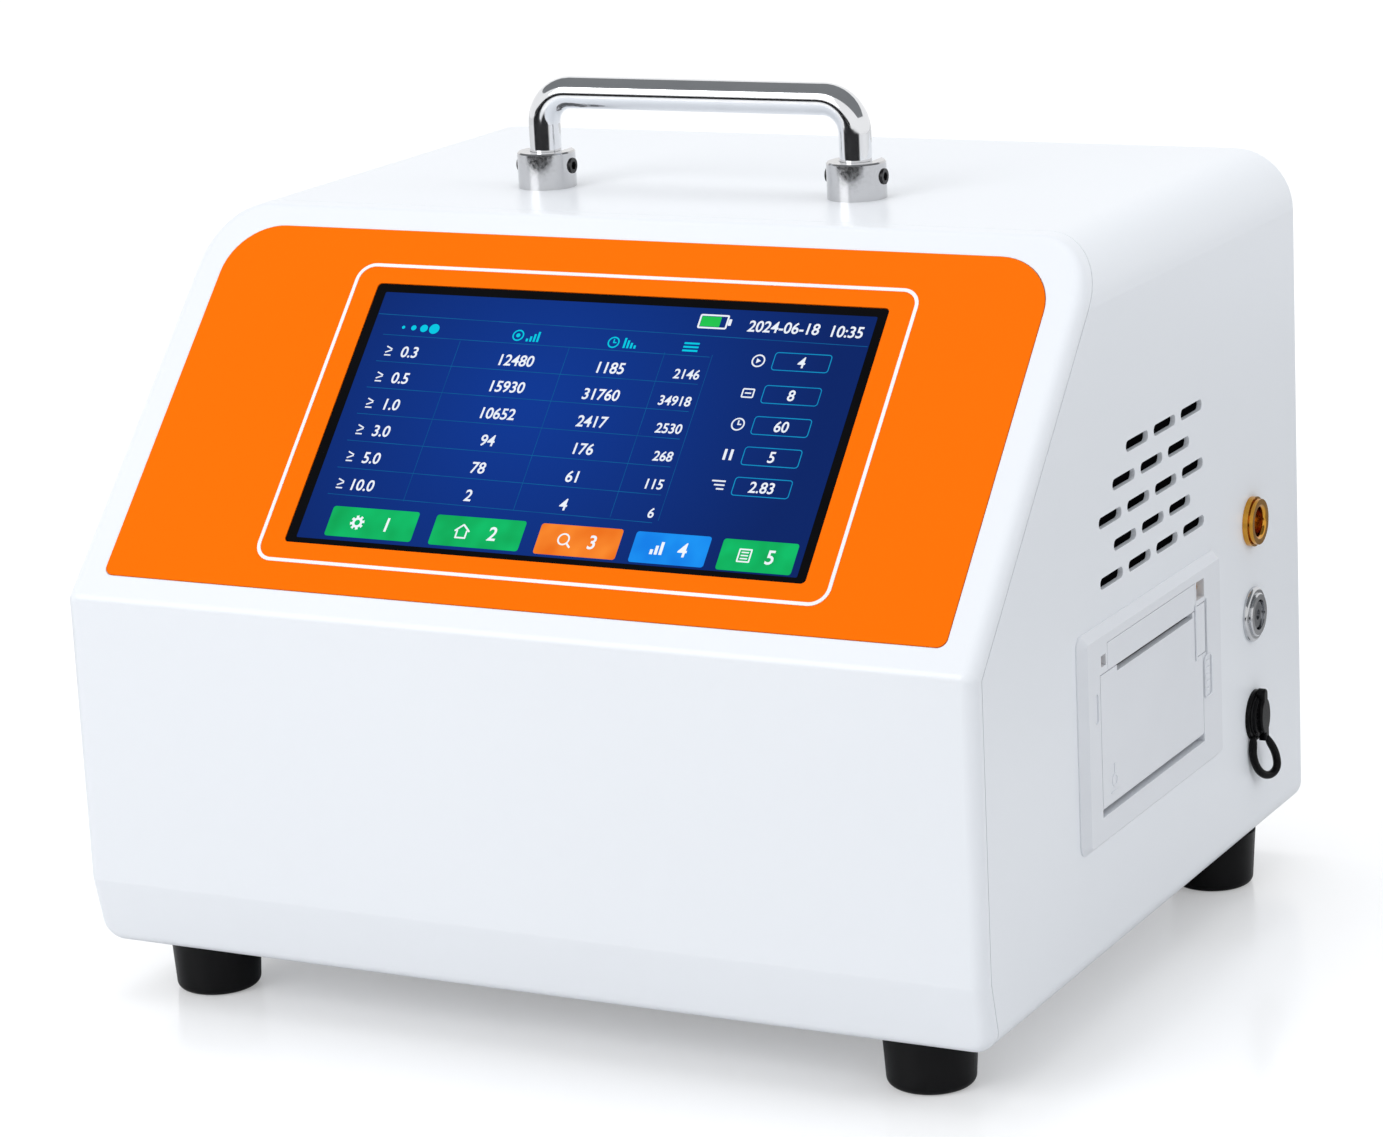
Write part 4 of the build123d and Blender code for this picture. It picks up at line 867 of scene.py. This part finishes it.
MARK_DEPTH = 0.4 * MM
MARK_SUNK = 0.15 * MM
GRIP_SIZE = (6.2 * MM, 13.4 * MM)
GRIP_SHIFT = 3.6 * MM
GRIP_DROP = 8.0 * MM
RAIL_GAP = 0.7 * MM
SIGN_INSET = (9.0 * MM, 7.5 * MM)


class COUNTER_OT_printer(bpy.types.Operator):
    """Finishes the receipt printer"""

    bl_idname = "counter.printer"
    bl_label = "Finish Printer"

    def execute(self, context):
        colours = context.scene.counter_colours
        grey = tuple(colours.printer)
        moulded = surface(
            "grained_moulding", grey, tuple(c * 0.975 for c in grey), 0.4, 0.04, 2600, 0.000003,
            cloud=30, specular=0.4,
        )
        paint(moulded, "printer_bezel", "printer_door", "tear_strip", "release_button", "printer_well")
        low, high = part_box("strip_shaft")
        middle = (low + high) / 2
        brass = turned("brass_shaft", tuple(colours.brass), 0.28, middle, "Y", 0.0005, 0.00001)
        paint(brass, "strip_shaft")
        rubber = surface(
            "roller_rubber", (0.015, 0.015, 0.016), (0.022, 0.022, 0.023), 0.5, 0.06, 1800, 0.00002, cloud=90,
        )
        paint(rubber, "platen_roller")
        steel = surface(
            "ground_steel", (0.6, 0.6, 0.61), (0.5, 0.5, 0.51), 0.24, 0.05, 1400, 0.00001, metal=1, cloud=120,
        )
        paint(steel, "platen_shaft", "door_pin", "print_head")
        paper = surface(
            "thermal_paper", (0.82, 0.82, 0.80), (0.78, 0.78, 0.76), 0.6, 0.05, 1400, 0.00001,
            cloud=50, stretch=(1, 0.05, 1),
        )
        paint(paper, "paper_roll")
        self.moulded_marks(moulded)
        return {"FINISHED"}

    def moulded_marks(self, moulded):
        """Raised outline round the grip ribs, rails beside the release button, and a sign on the door."""
        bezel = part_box("printer_bezel")
        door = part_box("printer_door")
        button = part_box("release_button")
        stand = Matrix(((0, 0, 1), (1, 0, 0), (0, 1, 0))).to_4x4()

        def stick(piece, face, across, rise):
            """Puts a flat mark on a side face, half sunk into it."""
            place = stand.copy()
            place.translation = Vector((face - MARK_SUNK, across, rise))
            return settle(piece, place)

        face = bezel[1].x
        middle_y = door[1].y + GRIP_SHIFT
        middle_z = button[0].z - GRIP_DROP
        frame_marks = [stick(plate(*GRIP_SIZE, MARK_DEPTH, 1.6 * MM, 0.45 * MM), face, middle_y, middle_z)]
        for side, shift in ((button[0].y, -RAIL_GAP), (button[1].y, RAIL_GAP)):
            rail = plate(0.5 * MM, button[1].z - button[0].z + 2.0 * MM, MARK_DEPTH, 0.2 * MM)
            frame_marks.append(stick(rail, face, side + shift, (button[0].z + button[1].z) / 2))
        piece = merge("printer_marks", frame_marks)
        coat(piece, moulded)
        left, low = door[0].y + SIGN_INSET[0], door[0].z + SIGN_INSET[1]
        sign = [
            stick(ring(1.5 * MM, 2.0 * MM, MARK_DEPTH), door[1].x, left, low),
            stick(plate(5.6 * MM, 0.5 * MM, MARK_DEPTH, 0.2 * MM), door[1].x, left, low - 3.4 * MM),
            stick(plate(0.5 * MM, 3.0 * MM, MARK_DEPTH, 0.2 * MM), door[1].x, left, low + 3.8 * MM),
        ]
        piece = merge("door_sign", sign)
        coat(piece, moulded, "door")


class COUNTER_OT_inside(bpy.types.Operator):
    """Finishes the chassis, the electronics and the air path inside"""

    bl_idname = "counter.inside"
    bl_label = "Finish Inner Parts"

    def execute(self, context):
        plate_metal = surface(
            "plain_aluminium", (0.6, 0.61, 0.63), (0.52, 0.53, 0.55), 0.34, 0.06, 700, 0.00002,
            metal=1, cloud=40, stretch=(0.08, 1, 1),
        )
        paint(plate_metal, "chassis_plate", "sensor_block")
        sheet = surface(
            "plated_sheet", (0.5, 0.51, 0.52), (0.4, 0.41, 0.42), 0.32, 0.06, 900, 0.00001, metal=1, cloud=60,
        )
        paint(sheet, "display_module", "display_clamp_lower", "display_clamp_upper", "battery_strap")
        board = surface(
            "circuit_board", (0.012, 0.1, 0.03), (0.02, 0.16, 0.05), 0.35, 0.06, 700, 0.00003, cloud=420,
        )
        paint(board, "main_board")
        wrap = surface(
            "battery_film", (0.01, 0.05, 0.22), (0.014, 0.06, 0.26), 0.28, 0.05, 300, 0.00005, cloud=25,
        )
        paint(wrap, "battery_pack")
        tube = surface(
            "clear_silicone", (0.55, 0.58, 0.6), (0.5, 0.53, 0.55), 0.3, 0.05, 500, 0.00001, cloud=80,
        )
        paint(tube, "inlet_tube", "pump_tube")
        return {"FINISHED"}


# ---------------------------------------------------------------- display
IMAGE_LIFT = 0.02
RULE_LIFT = 0.06
MARK_LIFT = 0.09
KEY_LIFT = 0.06
ICON_LIFT = 0.12
FILM = 0.03
COLUMNS = (-67.0, -30.0, 2.2, 32.2)
ROWS = (22.4, 13.2, 3.9, -5.4, -14.8, -24.2)
READINGS = (
    ("0.3", "12480", "1185", "2146"),
    ("0.5", "15930", "31760", "34918"),
    ("1.0", "10652", "2417", "2530"),
    ("3.0", "94", "176", "268"),
    ("5.0", "78", "61", "115"),
    ("10.0", "2", "4", "6"),
)
FIELDS = ((26.5, "4"), (15.3, "8"), (4.8, "60"), (-5.4, "5"), (-15.5, "2.83"))
FIELD_MIDDLE = 63.4
FIELD_WIDTH = 18.4
FIELD_HEIGHT = 6.2
FIELD_FIGURES = 0.95
LAST_COLUMN_FIGURES = 0.86
RULES = (
    (27.4, 112), (18.0, 110), (8.7, 110), (-0.6, 110), (-10.0, 110), (-19.4, 110), (-28.6, 110),
)
RULE_TURN = -0.8
UPRIGHTS = (-51.0, -13.5, 18.5, 34.2)
ROW_FALL = 0.02
KEYS = (
    ("green", -58.8, 29.8), ("green", -22.8, 30.2), ("orange", 10.9, 26.9), ("blue", 40.8, 24.2),
    ("green", 68.7, 23.8),
)
KEY_RISE = -37.2
KEY_FALL = 0.006
KEY_HEIGHT = 10.1
KEY_SIGN_SHIFT = 0.17
OVER = 0.002


def slip(u, v, width, height, lift=MARK_LIFT, radius=0.0, rim=0.0, turn=0.0):
    """Thin plate or outline on the lit picture, all in millimetres."""
    piece = plate(width * MM, height * MM, FILM * MM, radius * MM, rim * MM)
    return on_panel(piece, u, v, lift, turn)


def hoop(u, v, inner, outer, lift=MARK_LIFT, turn=0.0, sides=32, teeth=0.0):
    """Thin ring on the lit picture, all in millimetres."""
    return on_panel(ring(inner * MM, outer * MM, FILM * MM, sides, teeth * MM), u, v, lift, turn)


def dot(u, v, radius):
    """Thin disc on the lit picture, in millimetres."""
    return on_panel(disc(radius * MM, FILM * MM), u, v, MARK_LIFT)


class COUNTER_OT_picture(bpy.types.Operator):
    """Models the lit picture and its table lines and fields"""

    bl_idname = "counter.picture"
    bl_label = "Model Display Picture"

    def execute(self, context):
        sizes = context.scene.counter_display
        middle = panel_place().translation
        picture = plate(sizes.active_width, sizes.active_height, FILM * MM, 0.5 * MM)
        picture = on_panel(picture, 0, 0, IMAGE_LIFT)
        picture.name = "display_picture"
        blue = lit(
            "display_blue", (0.0030, 0.040, 0.30), (0.0020, 0.018, 0.135), sizes.glow, across=0.095,
            centre=middle + Vector((-0.02, 0, 0.01)),
        )
        coat(picture, blue)
        rules = [slip(0, 34.2, 165.0, 0.22, RULE_LIFT, turn=RULE_TURN)]
        for rise, length in RULES:
            rules.append(slip(-22.5, rise, length, 0.2, RULE_LIFT, turn=RULE_TURN))
        for across in UPRIGHTS:
            rules.append(slip(across, -0.6, 0.14, 56, RULE_LIFT + 0.005))
        piece = merge("display_rules", rules)
        teal = lit("display_teal", (0.004, 0.13, 0.34), (0.003, 0.08, 0.26), sizes.glow)
        coat(piece, teal)
        fields = [
            slip(FIELD_MIDDLE, rise, FIELD_WIDTH, FIELD_HEIGHT, radius=1.1, rim=0.28) for rise, _ in FIELDS
        ]
        piece = merge("display_fields", fields)
        cyan = lit("display_cyan", (0.006, 0.32, 0.60), (0.004, 0.24, 0.52), sizes.glow)
        coat(piece, cyan)
        return {"FINISHED"}


class COUNTER_OT_readings(bpy.types.Operator):
    """Models the figures of the table, the clock, the fields and the battery"""

    bl_idname = "counter.readings"
    bl_label = "Model Display Readings"

    def execute(self, context):
        sizes = context.scene.counter_display
        height = sizes.figure_height
        parts = []
        for rise, row in zip(ROWS, READINGS):
            for number, (across, text) in enumerate(zip(COLUMNS, row)):
                last = number == len(COLUMNS) - 1
                small = LAST_COLUMN_FIGURES if last else 1.0
                figure = figures(text, height * small, align="RIGHT" if last else "CENTER")
                tilt = (across + 67) * ROW_FALL
                parts.append(on_panel(figure, across, rise - tilt, MARK_LIFT))
            parts.append(slip(-74.4, rise - 1.4, 2.2, 0.42))
            for turn, lift in ((-24, 0.9), (24, -0.3)):
                parts.append(slip(-74.4, rise + lift + 0.3, 2.3, 0.42, turn=turn))
        for rise, text in FIELDS:
            parts.append(on_panel(figures(text, height * FIELD_FIGURES), FIELD_MIDDLE, rise, MARK_LIFT))
        parts.append(on_panel(figures("2024-06-18", height), 54.2, 37.9, MARK_LIFT))
        parts.append(on_panel(figures("10:35", height), 74.4, 37.6, MARK_LIFT))
        parts.append(slip(31.0, 38.7, 9.6, 4.9, radius=0.6, rim=0.55))
        parts.append(slip(36.4, 38.7, 1.0, 2.2, radius=0.2))
        piece = merge("display_readings", parts)
        white = lit("display_white", (0.90, 0.94, 1.0), (0.82, 0.88, 0.96), sizes.glow)
        coat(piece, white)
        charge = slip(30.1, 38.7, 6.4, 3.4, radius=0.2)
        charge.name = "display_charge"
        green = lit("display_charge_green", (0.02, 0.62, 0.09), (0.01, 0.45, 0.06), sizes.glow)
        coat(charge, green)
        self.headings(sizes)
        return {"FINISHED"}

    def headings(self, sizes):
        """Plain signs over the columns: grain sizes, a gauge, a clock and a stack."""
        cyan = []
        for number, radius in enumerate((0.55, 0.9, 1.3, 1.75)):
            cyan.append(dot(-72.2 + number * 3.6, 31.0, radius))
        cyan += [hoop(-32.0, 30.4, 1.5, 1.95), dot(-32.0, 30.4, 0.7)]
        for step in range(4):
            cyan.append(slip(-28.6 + step * 1.2, 28.95 + step * 0.42, 0.7, 1.0 + step * 0.85))
        cyan.append(hoop(0.6, 29.8, 1.5, 1.95))
        cyan.append(slip(0.6, 30.3, 0.4, 1.3, MARK_LIFT + OVER))
        cyan.append(slip(1.0, 29.75, 1.1, 0.4, MARK_LIFT + 2 * OVER))
        for step in range(4):
            cyan.append(slip(4.4 + step * 1.2, 29.8 - step * 0.4, 0.7, 3.5 - step * 0.8))
        for step in range(3):
            cyan.append(slip(26.4, 30.9 - step * 1.25, 5.0, 0.62))
        piece = merge("display_headings", cyan)
        bright = lit("display_aqua", (0.0, 0.62, 0.80), (0.0, 0.55, 0.74), sizes.glow)
        coat(piece, bright)
        white = [hoop(49.5, 26.3, 1.7, 2.15), hoop(49.4, 26.3, 0.12, 0.95, MARK_LIFT + OVER, -90, sides=3)]
        white.append(slip(49.5, 15.3, 4.0, 3.2, radius=0.5, rim=0.45))
        white.append(slip(49.5, 15.3, 2.0, 0.45, MARK_LIFT + OVER))
        white.append(hoop(49.5, 4.8, 1.7, 2.15))
        white.append(slip(49.5, 5.4, 0.42, 1.5, MARK_LIFT + OVER))
        white.append(slip(49.95, 4.75, 1.2, 0.42, MARK_LIFT + 2 * OVER))
        for across in (-1.0, 1.0):
            white.append(slip(49.5 + across, -5.4, 0.85, 3.6, radius=0.15))
        for step in range(3):
            white.append(slip(49.3 + step * 0.5, -14.2 - step * 1.3, 4.4 - step, 0.5, radius=0.15))
        piece = merge("display_signs", white)
        clear = lit("display_sign_white", (0.88, 0.92, 0.98), (0.80, 0.86, 0.94), sizes.glow)
        coat(piece, clear)


class COUNTER_OT_keys(bpy.types.Operator):
    """Models the five touch keys with their signs and numbers"""

    bl_idname = "counter.keys"
    bl_label = "Model Touch Keys"

    def execute(self, context):
        sizes = context.scene.counter_display
        tones = {
            "green": ((0.004, 0.52, 0.14), (0.003, 0.38, 0.09)),
            "orange": ((1.0, 0.28, 0.03), (0.86, 0.17, 0.01)),
            "blue": ((0.01, 0.30, 0.92), (0.005, 0.20, 0.80)),
        }
        for tone, (first, second) in tones.items():
            keys = []
            for name, across, width in KEYS:
                if name == tone:
                    rise = KEY_RISE - across * KEY_FALL
                    keys.append(slip(across, rise, width, KEY_HEIGHT, KEY_LIFT, radius=0.9))
            piece = merge("display_keys_" + tone, keys)
            finish = lit("display_key_" + tone, first, second, sizes.glow)
            coat(piece, finish)
        marks = self.signs()
        for number, (name, across, width) in enumerate(KEYS):
            figure = figures(str(number + 1), 4.6 * MM)
            rise = KEY_RISE - across * KEY_FALL
            marks.append(on_panel(figure, across + width * KEY_SIGN_SHIFT, rise, ICON_LIFT))
        piece = merge("display_key_signs", marks)
        white = lit("display_key_white", (0.92, 0.96, 1.0), (0.86, 0.92, 0.98), sizes.glow)
        coat(piece, white)
        return {"FINISHED"}

    def signs(self):
        """Plain signs on the keys: a cog, a house, a lens, bars and a list."""
        places = [
            (across - width * KEY_SIGN_SHIFT, KEY_RISE - across * KEY_FALL) for _, across, width in KEYS
        ]
        u, v = places[0]
        marks = [hoop(u, v, 0.95, 1.75, ICON_LIFT, sides=16, teeth=0.65)]
        u, v = places[1]
        for side in (-1, 1):
            roof = slip(u + side * 1.2, v + 1.2, 3.4, 0.55, ICON_LIFT, 0.1, turn=-side * 42)
            marks += [roof, slip(u + side * 1.6, v - 0.9, 0.5, 2.6, ICON_LIFT + OVER)]
        marks.append(slip(u, v - 2.1, 3.6, 0.5, ICON_LIFT + 2 * OVER))
        u, v = places[2]
        marks.append(hoop(u - 0.3, v + 0.3, 1.5, 2.0, ICON_LIFT))
        marks.append(slip(u + 1.7, v - 1.6, 2.0, 0.6, ICON_LIFT + OVER, 0.1, turn=-45))
        u, v = places[3]
        for step, height in enumerate((1.6, 2.9, 4.2)):
            marks.append(slip(u - 1.5 + step * 1.5, v - 2.1 + height / 2, 0.95, height, ICON_LIFT))
        u, v = places[4]
        marks.append(slip(u, v, 4.2, 4.4, ICON_LIFT, 0.3, 0.45))
        for step in range(3):
            marks.append(slip(u, v + 1.0 - step, 2.3, 0.4, ICON_LIFT + OVER))
        return marks


# ---------------------------------------------------------------- panel and registration
OPERATORS = (
    COUNTER_OT_stage,
    COUNTER_OT_housing,
    COUNTER_OT_handle,
    COUNTER_OT_fittings,
    COUNTER_OT_strap,
    COUNTER_OT_printer,
    COUNTER_OT_inside,
    COUNTER_OT_picture,
    COUNTER_OT_readings,
    COUNTER_OT_keys,
)


class COUNTER_PT_panel(bpy.types.Panel):
    """Lists the steps that dress the particle counter"""

    bl_idname = "COUNTER_PT_panel"
    bl_label = "Particle Counter"
    bl_space_type = "VIEW_3D"
    bl_region_type = "UI"
    bl_category = "Counter"

    def draw(self, context):
        for step in OPERATORS:
            self.layout.operator(step.bl_idname)


GROUPS = {
    "counter_stage": StageSettings,
    "counter_colours": ShellColours,
    "counter_display": DisplaySettings,
    "counter_strap": StrapSettings,
}


def register():
    for name, group in GROUPS.items():
        bpy.utils.register_class(group)
        setattr(bpy.types.Scene, name, bpy.props.PointerProperty(type=group))
    for step in OPERATORS:
        bpy.utils.register_class(step)
    bpy.utils.register_class(COUNTER_PT_panel)


def unregister():
    bpy.utils.unregister_class(COUNTER_PT_panel)
    for step in reversed(OPERATORS):
        bpy.utils.unregister_class(step)
    for name, group in GROUPS.items():
        delattr(bpy.types.Scene, name)
        bpy.utils.unregister_class(group)


def main():
    """Runs every step in order."""
    register()
    bpy.ops.counter.stage()
    bpy.ops.counter.housing()
    bpy.ops.counter.handle()
    bpy.ops.counter.fittings()
    bpy.ops.counter.strap()
    bpy.ops.counter.printer()
    bpy.ops.counter.inside()
    bpy.ops.counter.picture()
    bpy.ops.counter.readings()
    bpy.ops.counter.keys()


if __name__ == "__main__":
    main()
